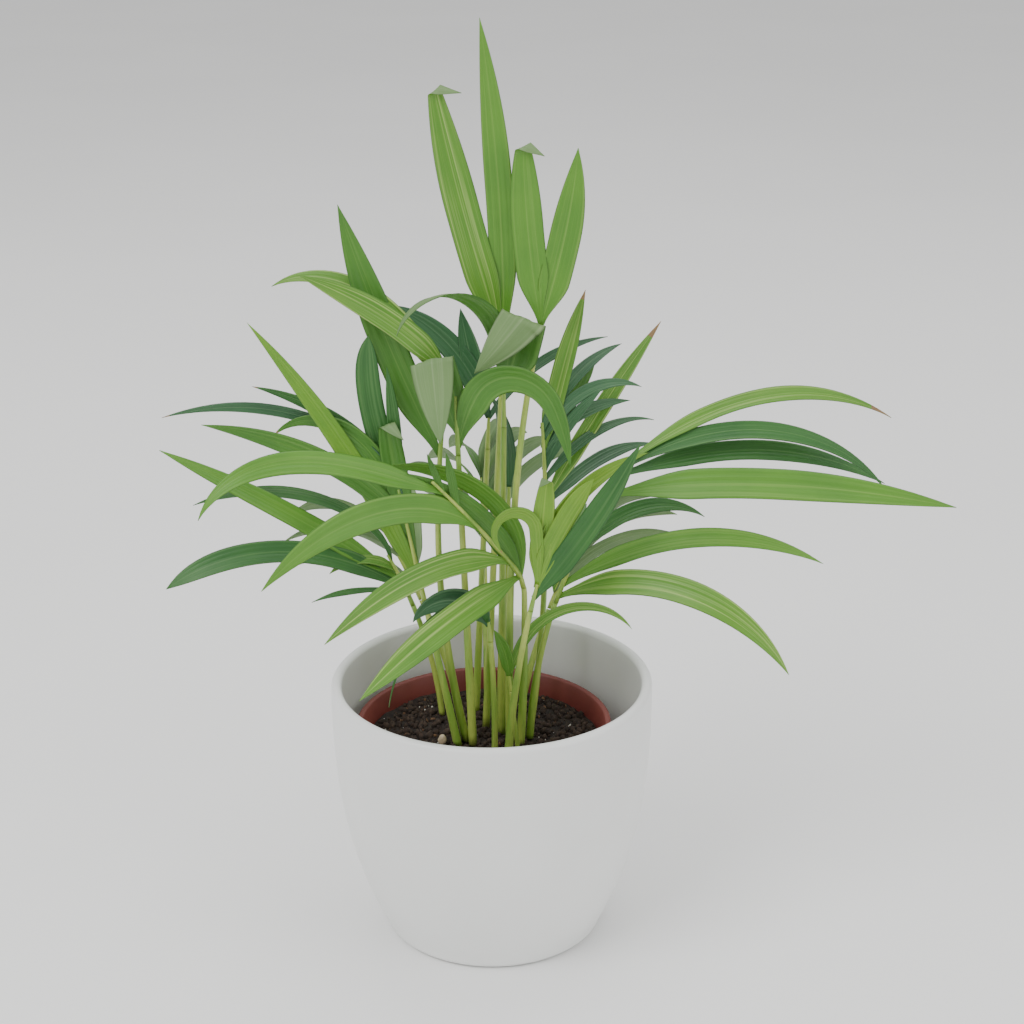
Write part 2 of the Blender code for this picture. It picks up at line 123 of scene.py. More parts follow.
@dataclass(frozen=True)
class Fold:
    """A kink across a leaflet: its place, its turn to the upper side and its crease's slant."""

    at: float
    turn: float
    slant: float = 0.0


@dataclass(frozen=True)
class Leaf:
    """One leaflet, from its root on the rachis to its tip."""

    at: float
    heading: float
    climb: float
    length: float
    width: float
    droop: float = 0.0
    face: float = 0.0
    late: float = 1.0
    twist: float = 0.0
    blunt: float = 0.0
    knee: tuple | None = None
    fold: Fold | None = None


@dataclass(frozen=True)
class Frond:
    """One stem with the frond that it carries: the frond's own piece begins at the fraction `opens`."""

    name: str
    foot: tuple
    heading: float
    climb: float
    length: float
    opens: float
    leaves: tuple
    droop: float = 0.0
    late: float = 1.0
    knee: tuple | None = None
    foot_radius: float = 2.2
    neck_radius: float = 1.3


TALL_LEFT = Frond(
    "tall_left", foot=(-3, 10), heading=10, climb=87, length=190, opens=0.93, foot_radius=2.0,
    leaves=(
        Leaf(1.0, 180, 72, 130, 15, droop=-8, face=88, fold=Fold(0.90, 150, -35)),
        Leaf(1.0, 178, 92, 143, 12, droop=10, face=88, late=0.8),
    ),
)

TALL_RIGHT = Frond(
    "tall_right", foot=(8, -6), heading=40, climb=90, length=201, droop=17, late=2.0, opens=0.93,
    foot_radius=2.0,
    leaves=(
        Leaf(1.0, 175, 78, 92, 14, droop=-12, face=88, late=0.7, fold=Fold(0.88, 150, -30)),
        Leaf(1.0, 5, 73, 80, 14, droop=-13, face=88, late=1.5),
    ),
)

CURL_BACK = Frond(
    "curl_back", foot=(4, 2), heading=20, climb=89, length=170, opens=0.9,
    leaves=(
        Leaf(1.0, 205, 98, 93, 12, droop=170, late=1.5, face=50, twist=-60),
        Leaf(1.0, -30, 69, 72, 20, droop=-16, face=85, fold=Fold(0.54, 165, 14)),
    ),
)

CURL_FRONT = Frond(
    "curl_front", foot=(-9, -8), heading=200, climb=88, length=172, opens=0.84,
    leaves=(
        Leaf(0.90, 180, 71, 76, 19, droop=-8, face=85, fold=Fold(0.50, 165, 5)),
        Leaf(0.86, -20, 78, 98, 14, droop=60, face=70, knee=(0.50, 100, 0.45)),
    ),
)

# Its leaflets lie in shade in the middle of the plant and take the painted-shade green
DARK_CENTRE = Frond(
    "dark_centre", foot=(-8, 26), heading=0, climb=87, length=150, opens=0.9, foot_radius=2.0,
    leaves=(
        Leaf(1.0, 165, 74, 72, 11, droop=58, face=45, late=1.2),
        Leaf(1.0, 150, 69, 52, 10, droop=-10, face=60),
        Leaf(1.0, 15, 55, 69, 5, droop=53, face=30, late=1.2),
    ),
)

BENT_YOUNG = Frond(
    "bent_young", foot=(5, 19), heading=20, climb=88, length=118, opens=0.9, foot_radius=1.6,
    leaves=(
        Leaf(1.0, 180, 89, 58, 9, droop=70, face=85, late=3.0, twist=-90),
    ),
)

LEFT_TALL = Frond(
    "left_tall", foot=(-12, -4), heading=170, climb=77, length=180, droop=-22, opens=0.76,
    leaves=(
        Leaf(0.79, 170, 64, 121, 15, droop=-10, face=75),
        Leaf(0.97, 170, 59, 100, 9, droop=90, face=45, late=2.0),
        Leaf(1.0, 185, 62, 81, 11, droop=40, face=60, late=0.6),
    ),
)

LEFT_LIGHT = Frond(
    "left_light", foot=(-16, -8), heading=180, climb=79, length=130, opens=0.57,
    leaves=(
        Leaf(0.62, 185, 69, 148, 9, droop=17, face=70),
        Leaf(0.70, 180, 77, 110, 9, droop=126, face=50, late=2.8),
        Leaf(0.95, 175, 106, 127, 6, droop=123, face=40, late=0.45),
        Leaf(0.98, 170, 90, 86, 6, droop=80, face=50, late=0.5),
        Leaf(0.82, 190, 78, 112, 9, droop=66, face=35, late=0.5),
        Leaf(0.98, 160, 69, 75, 11, droop=-30, face=80, late=1.8, blunt=1.0),
        Leaf(1.0, 150, 89, 57, 6, droop=7, face=80),
        Leaf(0.88, 180, 79, 60, 11, droop=-5, face=85, fold=Fold(0.80, 140, -20)),
    ),
)

LEFT_LOW = Frond(
    "left_low", foot=(-24, 24), heading=180, climb=85, length=87, droop=22, opens=0.68, foot_radius=1.5,
    leaves=(
        Leaf(0.84, 180, 35, 128, 11, droop=8, face=35),
        Leaf(0.78, 190, 38, 120, 11, droop=72, face=40, late=1.2, blunt=1.0),
        Leaf(0.90, 185, 45, 35, 5, droop=90, face=30),
        Leaf(0.74, 205, 27, 50, 4, droop=40, face=20),
        Leaf(0.97, 170, 112, 110, 8, droop=136, face=30, late=0.4),
    ),
)

FRONT_LEFT = Frond(
    "front_left", foot=(13, -8), heading=215, climb=95, length=158, droop=12,
    knee=(0.53, 36, 0.10), opens=0.50,
    leaves=(
        Leaf(0.95, 200, 24, 120, 11, droop=88, face=45, late=2.8),
        Leaf(0.76, 215, 49, 122, 13, droop=88, face=45, late=0.8),
        Leaf(0.60, 225, 36, 115, 11, droop=60, face=45, late=0.6),
        Leaf(0.54, 235, 0, 120, 13, droop=14, face=50),
        Leaf(0.54, 198, 108, 102, 9, droop=110, face=60, late=0.7),
        Leaf(0.53, 210, 72, 86, 10, droop=44, face=60, late=0.8),
        Leaf(0.88, 200, 80, 26, 4, face=85),
        Leaf(0.95, 200, 70, 20, 3, face=85),
    ),
)

YOUNG_CENTRE = Frond(
    "young_centre", foot=(7, -22), heading=-10, climb=86, length=89, droop=10, opens=0.85,
    leaves=(
        Leaf(1.0, 190, 93, 66, 6, face=70, droop=20, knee=(0.66, 190, 0.5)),
        Leaf(1.0, 30, 84, 58, 10, face=88, fold=Fold(0.86, 120, 20)),
        Leaf(0.98, 0, 76, 58, 9, droop=24, face=75, blunt=0.6),
        Leaf(0.92, -10, 53, 89, 11, droop=-10, face=60),
        Leaf(1.0, 14, 90, 83, 8, droop=78, face=50, late=0.9),
    ),
)

RIGHT = Frond(
    "right", foot=(17.6, -2), heading=0, climb=88, length=150, droop=33, opens=0.47, foot_radius=2.0,
    leaves=(
        Leaf(1.0, 15, 32, 133, 8, droop=66, face=40, late=1.3),
        Leaf(0.97, 5, 28, 130, 9, droop=78, face=40, late=1.2),
        Leaf(0.93, 10, 16, 130, 10, droop=48, face=45, late=1.2),
        Leaf(0.85, -10, 22, 156, 14, droop=31, face=55, late=0.5),
        Leaf(0.65, 20, 43, 71, 8, droop=82, face=40, late=1.3),
        Leaf(0.53, -5, 36, 126, 9, droop=64, face=50, late=1.2),
        Leaf(0.49, -25, 30, 125, 12, droop=86, face=45, late=1.2),
    ),
)

RIGHT_BACK = Frond(
    "right_back", foot=(18, 5), heading=40, climb=79, length=153, droop=-16, opens=0.66, foot_radius=1.6,
    leaves=(
        Leaf(0.92, 40, 74, 74, 9, droop=8, face=80),
        Leaf(0.75, 35, 52, 100, 8, droop=8, face=70),
        Leaf(0.92, 45, 46, 50, 7, face=80, blunt=0.6),
        Leaf(0.95, 20, 60, 58, 6, droop=88, face=45, late=1.3),
        Leaf(0.90, 25, 78, 52, 6, droop=86, face=40, late=0.6),
        Leaf(0.82, 30, 42, 66, 5, droop=62, face=30, late=1.5),
        Leaf(0.74, 40, 30, 73, 7, droop=45, face=40, late=1.4),
        Leaf(0.98, 40, 60, 60, 6, droop=55, face=50),
        Leaf(0.85, 10, 78, 46, 6, droop=40, face=60, late=0.7),
    ),
)

SEEDLING = Frond(
    "seedling", foot=(12, -14), heading=180, climb=84, length=38, opens=0.8, foot_radius=1.2, neck_radius=0.9,
    leaves=(
        Leaf(1.0, -5, 76, 79, 5, droop=131, face=50, late=1.5),
        Leaf(1.0, 190, 88, 25, 6, droop=28, face=70),
    ),
)

# A dark frond low in the middle: its dark leaflets also fill the shadow under the front-left frond, so their
# dark greens are partly painted shade
LOW_DARK = Frond(
    "low_dark", foot=(1, -15), heading=200, climb=91, length=66, droop=6, opens=0.85, foot_radius=1.6,
    leaves=(
        Leaf(1.0, 230, 68, 90, 7, droop=145, face=40, late=0.8),
        Leaf(0.97, 200, 66, 46, 12, droop=124, face=60, late=1.3),
    ),
)


def back_frond(
    name: str, foot: tuple, heading: float, climb: float, length: float, pairs: int, reach: float,
) -> Frond:
    """A frond of the hidden back: even pairs of leaflets that shorten towards the tip.

    Args:
        name: the frond's name.
        foot: where its stem stands in the plan.
        heading: compass angle of the stem.
        climb: angle of the stem above the level.
        length: length of stem and rachis together.
        pairs: how many pairs of leaflets it has.
        reach: length of its first leaflets.

    Returns:
        The frond with its leaflets.
    """
    leaves = []
    for pair in range(pairs):
        at = BACK_FIRST_PAIR + (1.0 - BACK_FIRST_PAIR) * pair / (pairs - 1)
        spread = BACK_SPREAD * (1 - BACK_SPREAD_LOSS * pair / (pairs - 1))
        for side in (-1, 1):
            leaves.append(Leaf(
                at, heading + side * spread, BACK_CLIMB - BACK_CLIMB_SIDE * side,
                reach * (1 - BACK_SHORTER * pair), BACK_WIDTH,
                droop=BACK_DROOP + BACK_DROOP_MORE * pair, face=-35, late=1.2,
            ))
    return Frond(
        name, foot=foot, heading=heading, climb=climb, length=length, droop=24, opens=0.6,
        foot_radius=1.8, leaves=tuple(leaves),
    )


BACK_LEFT = back_frond("back_left", (-16, 34), 144, 74, 92, 3, 70)
BACK_MIDDLE = back_frond("back_middle", (-2, 42), 92, 68, 112, 4, 78)
BACK_RIGHT = back_frond("back_right", (14, 30), 44, 74, 84, 3, 74)

FRONDS = (
    TALL_LEFT, TALL_RIGHT, CURL_BACK, CURL_FRONT, DARK_CENTRE, BENT_YOUNG, LEFT_TALL, LEFT_LIGHT,
    LEFT_LOW, FRONT_LEFT, YOUNG_CENTRE, RIGHT, RIGHT_BACK, SEEDLING, LOW_DARK,
    BACK_LEFT, BACK_MIDDLE, BACK_RIGHT,
)


class Tint(Enum):
    """The greens that the leaflets are dealt; one of them is a darker, bluer green that is painted shade for
    leaflets lying in shade.
    """

    BRIGHT = "bright"
    LIME = "lime"
    MID = "mid"
    DARK = "dark"
    # Painted shade: a darker, bluer green for leaflets that lie in shade
    BLUE = "blue"
    STRIPED = "striped"
    YOUNG = "young"


# The tint of each leaflet, in the order of its frond's leaves; the darker, bluer green is painted shade on
# leaflets in shade
TINTS = {
    "tall_left": (Tint.STRIPED, Tint.BRIGHT),
    "tall_right": (Tint.BRIGHT, Tint.BRIGHT),
    "curl_back": (Tint.MID, Tint.MID),
    "curl_front": (Tint.MID, Tint.MID),
    "dark_centre": (Tint.BLUE, Tint.BLUE, Tint.BLUE),
    "bent_young": (Tint.BLUE,),
    "left_tall": (Tint.MID, Tint.STRIPED, Tint.STRIPED),
    "left_light": (
        Tint.LIME, Tint.MID, Tint.BLUE, Tint.DARK, Tint.MID, Tint.DARK, Tint.DARK, Tint.MID,
    ),
    "left_low": (Tint.BRIGHT, Tint.DARK, Tint.STRIPED, Tint.DARK, Tint.DARK),
    "front_left": (
        Tint.BRIGHT, Tint.BRIGHT, Tint.STRIPED, Tint.STRIPED, Tint.BRIGHT, Tint.MID, Tint.MID, Tint.MID,
    ),
    "young_centre": (Tint.YOUNG, Tint.YOUNG, Tint.YOUNG, Tint.DARK, Tint.YOUNG),
    "right": (
        Tint.STRIPED, Tint.DARK, Tint.DARK, Tint.BRIGHT, Tint.DARK, Tint.BRIGHT, Tint.STRIPED,
    ),
    "right_back": (
        Tint.STRIPED, Tint.STRIPED, Tint.MID, Tint.BLUE, Tint.BLUE, Tint.BLUE, Tint.BLUE, Tint.BLUE,
        Tint.BLUE,
    ),
    "seedling": (Tint.STRIPED, Tint.BRIGHT),
    "low_dark": (Tint.DARK, Tint.BLUE),
}
BACK_TINTS = (Tint.MID, Tint.DARK, Tint.BRIGHT, Tint.MID)

# Dry brown tips: frond and leaflet number, and the share of the length that is dry
DRY_TIPS = {
    ("tall_left", 2): 0.02, ("right_back", 1): 0.07, ("right_back", 2): 0.10, ("right", 1): 0.10,
    ("left_light", 3): 0.04, ("left_light", 4): 0.06, ("right", 4): 0.02, ("young_centre", 1): 0.06,
    ("tall_right", 2): 0.03, ("right_back", 7): 0.04, ("left_light", 2): 0.05,
}


def turned(vector: np.ndarray, axis: np.ndarray, angle: float) -> np.ndarray:
    """The vector turned about a unit axis.

    Args:
        vector: what is turned.
        axis: the unit axis.
        angle: in radians.

    Returns:
        The turned vector.
    """
    across = np.cross(axis, vector)
    along = axis * np.dot(axis, vector)
    return vector * math.cos(angle) + across * math.sin(angle) + along * (1 - math.cos(angle))


def first_frame(heading: float, climb: float, face: float) -> tuple:
    """Direction, upper side and width of a leaflet at its root.

    Args:
        heading: compass angle seen from above.
        climb: angle above the level.
        face: how far the upper side leans from the sky to the viewer.

    Returns:
        The three unit vectors ahead, upper and width.
    """
    plan, rise, side = math.radians(heading), math.radians(climb), math.radians(face)
    ahead = np.array([math.cos(rise) * math.cos(plan), math.cos(rise) * math.sin(plan), math.sin(rise)])
    wanted = np.array([0.0, -math.sin(side), math.cos(side)])
    upper = wanted - ahead * np.dot(wanted, ahead)
    upper /= np.linalg.norm(upper)
    return ahead, upper, np.cross(upper, ahead)


def level_axis(course: Leaf | Frond, ahead: np.ndarray, fraction: float) -> np.ndarray:
    """The level axis that a droop turns about.

    Args:
        course: the stem or leaflet.
        ahead: the way that it runs here.
        fraction: how far along it is.

    Returns:
        The axis square to the heading, or past a fold square to the way that the leaflet hangs.
    """
    fold = getattr(course, "fold", None)
    if fold and fraction > fold.at:
        across = np.array([-ahead[1], ahead[0], 0.0])
        return across / max(np.linalg.norm(across), 0.1)
    plan = math.radians(course.heading)
    return np.array([-math.sin(plan), math.cos(plan), 0.0])


def share_of_span(start: float, end: float, middle: float, span: float) -> float:
    """How much of a short span lies between two fractions of the way.

    Args:
        start: the first fraction.
        end: the second fraction.
        middle: the span's middle.
        span: its length, as a fraction.

    Returns:
        A share from 0 to 1.
    """
    inside = min(end, middle + span / 2) - max(start, middle - span / 2)
    return max(0.0, inside) / span


def walk(root: tuple, course: Leaf | Frond, stations: list) -> list:
    """Points and frames along a stem, rachis or leaflet, by the solids' own growth rule.

    Args:
        root: where it sets out.
        course: its heading, climb, length, droop and, where it has them, its knee and fold.
        stations: rising fractions of its length.

    Returns:
        One tuple of point, ahead, upper and width for each station.
    """
    frame_now = first_frame(course.heading, course.climb, getattr(course, "face", 0.0))
    point = np.array(root, float)
    knee = course.knee
    fold = getattr(course, "fold", None)
    twist = getattr(course, "twist", 0.0)
    marks = [(point, *frame_now)]
    for near, far in zip(stations[:-1], stations[1:]):
        steps = max(1, math.ceil((far - near) * WALK_STEPS))
        for step in range(steps):
            start = near + (far - near) * step / steps
            end = near + (far - near) * (step + 1) / steps
            bend = course.droop * (end ** course.late - start ** course.late)
            if knee:
                bend += knee[1] * share_of_span(start, end, knee[0], knee[2])
            axis = level_axis(course, frame_now[0], end)
            frame_now = [turned(v, axis, math.radians(bend)) for v in frame_now]
            frame_now = [turned(v, frame_now[0], math.radians(twist * (end - start))) for v in frame_now]
            if fold:
                span = math.radians(abs(fold.turn)) * FOLD_RADIUS / course.length
                angle = -math.radians(fold.turn) * share_of_span(start, end, fold.at, span)
                slant = math.radians(fold.slant)
                crease = frame_now[2] * math.cos(slant) + frame_now[0] * math.sin(slant)
                frame_now = [turned(v, crease, angle) for v in frame_now]
            point = point + frame_now[0] * course.length * (end - start)
        marks.append((point, *frame_now))
    return marks


def stem_radius(frond: Frond, fraction: float) -> float:
    """Radius of the stem and rachis: an even taper to the neck, then to the rachis's fine end.

    Args:
        frond: the frond with its stem.
        fraction: how far along they are.

    Returns:
        The radius there.
    """
    if fraction < frond.opens:
        return frond.foot_radius + (frond.neck_radius - frond.foot_radius) * fraction / frond.opens
    past = (fraction - frond.opens) / (1.0 - frond.opens)
    return frond.neck_radius + (RACHIS_END_RADIUS - frond.neck_radius) * past


def half_width(leaf: Leaf, fraction: float) -> float:
    """Half width of the blade.

    Args:
        leaf: the leaflet.
        fraction: how far along its length.

    Returns:
        The half width there.
    """
    if fraction < LEAF_BROAD_FROM:
        part = fraction / LEAF_BROAD_FROM
        ease = part * part * (3 - 2 * part)
        return (LEAF_ROOT_WIDTH + (leaf.width - LEAF_ROOT_WIDTH) * ease) / 2
    if fraction < LEAF_BROAD_TO:
        return leaf.width / 2
    part = (fraction - LEAF_BROAD_TO) / (1 - LEAF_BROAD_TO)
    return leaf.width / 2 * max(TIP_SHARE, 1 - part ** (TIP_POWER + BLUNT_POWER * leaf.blunt))


def clear_selection() -> None:
    """Nothing is selected or being edited."""
    if bpy.context.object and bpy.context.object.mode != "OBJECT":
        bpy.ops.object.mode_set(mode="OBJECT")
    bpy.ops.object.select_all(action="DESELECT")


class Sock:
    """A shader socket or number that takes part in sums."""

    def __init__(self, net: "Net", link: object) -> None:
        """Keep the socket and the net that new nodes go to."""
        self.net = net
        self.link = link

    def _math(self, operation: str, first: object, second: object) -> "Sock":
        """One Math node."""
        return self.net.add("ShaderNodeMath", {"operation": operation}, {0: first, 1: second})

    def __add__(self, other: object) -> "Sock":
        """Sum."""
        return self._math("ADD", self, other)

    __radd__ = __add__

    def __sub__(self, other: object) -> "Sock":
        """Difference."""
        return self._math("SUBTRACT", self, other)

    def __rsub__(self, other: object) -> "Sock":
        """Difference the other way round."""
        return self._math("SUBTRACT", other, self)

    def __mul__(self, other: object) -> "Sock":
        """Product."""
        return self._math("MULTIPLY", self, other)

    __rmul__ = __mul__

    def to(self, operation: str, other: object = 0.0) -> "Sock":
        """Any other sum of one or two values, such as FRACT or MAXIMUM."""
        return self._math(operation, self, other)


class Net:
    """The node tree of one material."""

    def __init__(self, name: str) -> None:
        """Start an empty material.

        Args:
            name: the material's name.
        """
        self.material = bpy.data.materials.new(name)
        self.material.use_nodes = True
        self.tree = self.material.node_tree
        self.tree.nodes.clear()

    def add(
        self, kind: str, settings: dict | None = None, values: dict | None = None, out: object = 0,
    ) -> Sock:
        """Add a node.

        Args:
            kind: the node's type.
            settings: its own properties, set first; "stops" is a ramp's list of (place, colour).
            values: numbers, colours or links, by socket name or number.
            out: the output that is returned.

        Returns:
            The wrapped output socket.
        """
        node = self.tree.nodes.new(kind)
        for key, value in (settings or {}).items():
            if key == "stops":
                ramp = node.color_ramp
                while len(ramp.elements) < len(value):
                    ramp.elements.new(0.5)
                for element, (place, colour) in zip(ramp.elements, value):
                    element.position = place
                    element.color = (*colour, 1.0)
            else:
                setattr(node, key, value)
        for key, value in (values or {}).items():
            socket = node.inputs[key]
            if isinstance(value, Sock):
                self.tree.links.new(value.link, socket)
            else:
                socket.default_value = value
        return Sock(self, node.outputs[out])

    def blend(self, factor: object, first: object, second: object) -> Sock:
        """A colour between two colours.

        Args:
            factor: 0 for the first, 1 for the second.
            first: colour or link.
            second: colour or link.

        Returns:
            The mixed colour.
        """
        values = {0: factor, 6: first, 7: second}
        return self.add("ShaderNodeMix", {"data_type": "RGBA"}, values, 2)

    def ramp(self, value: Sock, low: float, high: float) -> Sock:
        """A smooth step.

        Args:
            value: what is measured.
            low: gives 0.
            high: gives 1.

        Returns:
            The step's value.
        """
        values = {0: value, 1: low, 2: high, 3: 0.0, 4: 1.0}
        return self.add("ShaderNodeMapRange", {"interpolation_type": "SMOOTHSTEP"}, values)

    def noise(self, vector: Sock, scale: float, detail: float = 3.0, rough: float = 0.5) -> Sock:
        """Noise at a place.

        Args:
            vector: the place.
            scale: how fine it is.
            detail: how many finer layers it has.
            rough: how strong they are.

        Returns:
            The noise's value.
        """
        values = {"Vector": vector, "Scale": scale, "Detail": detail, "Roughness": rough}
        return self.add("ShaderNodeTexNoise", {}, values)

    def close(self, shader: Sock) -> bpy.types.Material:
        """Join the shader to an output node.

        Args:
            shader: the finished surface.

        Returns:
            The material.
        """
        node = self.tree.nodes.new("ShaderNodeOutputMaterial")
        self.tree.links.new(shader.link, node.inputs["Surface"])
        return self.material


def rgba(colour: tuple) -> tuple:
    """The colour with full alpha."""
    return (*colour, 1.0)


@dataclass(frozen=True)
class LeafFinish:
    """A leaf surface with veins that run along it."""

    name: str
    base: tuple
    vein: tuple
    shade: tuple
    veins: float = 0.35
    fine_veins: float = 0.55
    rib: float = 0.35
    edge: float = 0.55
    edge_shade: float = 0.35
    blotches: float = 0.6
    blotch_scale: float = 38.0
    broad_stripes: tuple = (9.0, 0.55)
    broad_step: tuple = (0.50, 0.68)
    fine_stripes: tuple = (42.0, 1.2)
    fine_step: tuple = (0.50, 0.72)
    blotch_step: tuple = (0.35, 0.7)
    rib_step: tuple = (0.0, 0.05)
    edge_step: tuple = (0.90, 1.0)
    relief: float = 0.28
    relief_depth: float = 0.0006
    roughness: float = 0.40
    roughness_spread: float = 0.25
    specular: float = 0.45
    glow: float = 0.22

    def stripes(self, net: Net, across: Sock, along: Sock, scale: tuple, rough: float) -> Sock:
        """Noise drawn out along the blade.

        Args:
            net: the material's nodes.
            across: place across the blade.
            along: place along it.
            scale: how often it changes across and along.
            rough: how strong its finer layers are.

        Returns:
            The noise's value.
        """
        place = net.add("ShaderNodeCombineXYZ", {}, {0: across * scale[0], 1: along * scale[1]})
        return net.noise(place, 1.0, 2.0, rough)

    def make(self) -> bpy.types.Material:
        """Build the finish: blotches, veins and a dark edge on the blade's own UV map.

        Returns:
            The material.
        """
        net = Net(self.name)
        place = net.add("ShaderNodeTexCoord", {}, {}, "UV")
        parts = net.add("ShaderNodeSeparateXYZ", {}, {0: place})
        across = parts
        along = Sock(net, parts.link.node.outputs[1])
        inside = across.to("FRACT")
        side = (inside * 2.0 - 1.0).to("ABSOLUTE")
        broad = self.stripes(net, across, along, self.broad_stripes, 0.5)
        fine = self.stripes(net, across, along, self.fine_stripes, 0.6)
        blotch = net.noise(net.add("ShaderNodeTexCoord", {}, {}, "Object"), self.blotch_scale, 3.0)
        light = net.ramp(broad, *self.broad_step) * self.veins
        light = light + net.ramp(fine, *self.fine_step) * (self.veins * self.fine_veins)
        patch = net.ramp(blotch, *self.blotch_step) * self.blotches
        colour = net.blend(patch, rgba(self.base), rgba(self.shade))
        colour = net.blend(light.to("MINIMUM", 1.0), colour, rgba(self.vein))
        rib = 1.0 - net.ramp(side, *self.rib_step)
        colour = net.blend(rib * self.rib, colour, rgba(self.vein))
        edge = net.ramp(side, *self.edge_step)
        edge_colour = rgba(tuple(v * self.edge_shade for v in self.shade))
        colour = net.blend(edge * self.edge, colour, edge_colour)
        height = fine * 0.6 + broad * 0.4
        bump = net.add("ShaderNodeBump", {}, {
            "Strength": self.relief, "Distance": self.relief_depth, "Height": height,
        })
        rough = self.roughness + (blotch - 0.5) * self.roughness_spread
        surface = net.add("ShaderNodeBsdfPrincipled", {}, {
            "Base Color": colour, "Roughness": rough, "Specular IOR Level": self.specular,
            "Normal": bump,
        })
        through = net.add("ShaderNodeBsdfTranslucent", {}, {"Color": rgba(self.base)})
        return net.close(net.add("ShaderNodeMixShader", {}, {0: self.glow, 1: surface, 2: through}))


@dataclass(frozen=True)
class StalkFinish:
    """A stem's skin: fine lengthwise fibres and paler patches."""

    name: str
    base: tuple
    pale: tuple
    dark: tuple
    stretch: float = 0.12
    fibre_scale: float = 1400.0
    fibre_step: tuple = (0.5, 0.8)
    fibres: float = 0.5
    patch_scale: float = 160.0
    patch_step: tuple = (0.35, 0.65)
    relief: float = 0.3
    relief_depth: float = 0.0003
    roughness: float = 0.42

    def make(self) -> bpy.types.Material:
        """Build the finish on Object coordinates, stretched upwards.

        Returns:
            The material.
        """
        net = Net(self.name)
        place = net.add("ShaderNodeTexCoord", {}, {}, "Object")
        scale = (1.0, 1.0, self.stretch)
        long_way = net.add("ShaderNodeMapping", {}, {"Vector": place, "Scale": scale})
        fibre = net.noise(long_way, self.fibre_scale, 3.0, 0.6)
        patch = net.noise(long_way, self.patch_scale, 3.0)
        colour = net.blend(net.ramp(patch, *self.patch_step), rgba(self.base), rgba(self.pale))
        colour = net.blend(net.ramp(fibre, *self.fibre_step) * self.fibres, colour, rgba(self.dark))
        bump = net.add("ShaderNodeBump", {}, {
            "Strength": self.relief, "Distance": self.relief_depth, "Height": fibre,
        })
        surface = net.add("ShaderNodeBsdfPrincipled", {}, {
            "Base Color": colour, "Roughness": self.roughness, "Normal": bump,
        })
        return net.close(surface)


@dataclass(frozen=True)
class GrainFinish:
    """A plain material with a little mottling and grain: glaze, plastic, soil, perlite, floor."""

    name: str
    base: tuple
    other: tuple
    roughness: float
    mottle_scale: float = 60.0
    grain_scale: float = 900.0
    bump: float = 0.1
    bump_depth: float = 0.0002
    mottle_step: tuple = (0.3, 0.7)
    roughness_spread: float = 0.15
    coat: float = 0.0
    coat_roughness: float = 0.3

    def make(self) -> bpy.types.Material:
        """Build the finish on Object coordinates.

        Returns:
            The material.
        """
        net = Net(self.name)
        place = net.add("ShaderNodeTexCoord", {}, {}, "Object")
        mottle = net.noise(place, self.mottle_scale, 4.0)
        grain = net.noise(place, self.grain_scale, 3.0, 0.6)
        colour = net.blend(net.ramp(mottle, *self.mottle_step), rgba(self.base), rgba(self.other))
        rough = self.roughness + (grain - 0.5) * self.roughness_spread
        bump = net.add("ShaderNodeBump", {}, {
            "Strength": self.bump, "Distance": self.bump_depth, "Height": grain,
        })
        surface = net.add("ShaderNodeBsdfPrincipled", {}, {
            "Base Color": colour, "Roughness": rough, "Normal": bump, "Coat Weight": self.coat,
            "Coat Roughness": self.coat_roughness,
        })
        return net.close(surface)


GREENS = {
    Tint.BRIGHT: LeafFinish("leaf_bright", (0.13, 0.34, 0.035), (0.30, 0.52, 0.10), (0.09, 0.26, 0.03)),
    Tint.LIME: LeafFinish("leaf_lime", (0.18, 0.40, 0.03), (0.36, 0.60, 0.08), (0.12, 0.32, 0.03)),
    Tint.MID: LeafFinish("leaf_mid", (0.09, 0.26, 0.03), (0.22, 0.42, 0.09), (0.06, 0.19, 0.03)),
    Tint.DARK: LeafFinish("leaf_dark", (0.05, 0.18, 0.035), (0.16, 0.33, 0.10), (0.03, 0.12, 0.03)),
    # Painted shade: the darker, bluer green of leaflets that lie in shade, with less light let through them
    Tint.BLUE: LeafFinish(
        "leaf_blue", (0.045, 0.15, 0.055), (0.19, 0.34, 0.17), (0.025, 0.09, 0.04), glow=0.12,
    ),
    Tint.STRIPED: LeafFinish(
        "leaf_striped", (0.13, 0.33, 0.03), (0.48, 0.68, 0.18), (0.08, 0.25, 0.025), veins=0.75,
    ),
    Tint.YOUNG: LeafFinish("leaf_young", (0.20, 0.40, 0.035), (0.42, 0.62, 0.10), (0.12, 0.30, 0.03)),
}
UNDERSIDE = LeafFinish(
    "leaf_underside", (0.20, 0.33, 0.12), (0.38, 0.50, 0.26), (0.14, 0.26, 0.09), roughness=0.55,
)
DRY = LeafFinish(
    "leaf_dry_tip", (0.30, 0.19, 0.08), (0.52, 0.42, 0.22), (0.16, 0.09, 0.05), roughness=0.7, glow=0.05,
)
STALK = StalkFinish("stalk_green", (0.20, 0.36, 0.05), (0.42, 0.52, 0.10), (0.10, 0.20, 0.03))
GLAZE = GrainFinish(
    "pot_satin", (0.80, 0.81, 0.79), (0.84, 0.85, 0.83), 0.38,
    mottle_scale=12.0, grain_scale=700.0, bump=0.08, bump_depth=0.0001, coat=0.25,
)
BROWN_PLASTIC = GrainFinish(
    "growing_pot_plastic", (0.17, 0.035, 0.03), (0.22, 0.05, 0.04), 0.45,
    mottle_scale=50.0, grain_scale=1500.0, bump=0.15,
)
SOIL_DARK = GrainFinish(
    "soil_dark", (0.012, 0.008, 0.006), (0.035, 0.022, 0.015), 0.95,
    mottle_scale=300.0, grain_scale=900.0, bump=0.8, bump_depth=0.001,
)
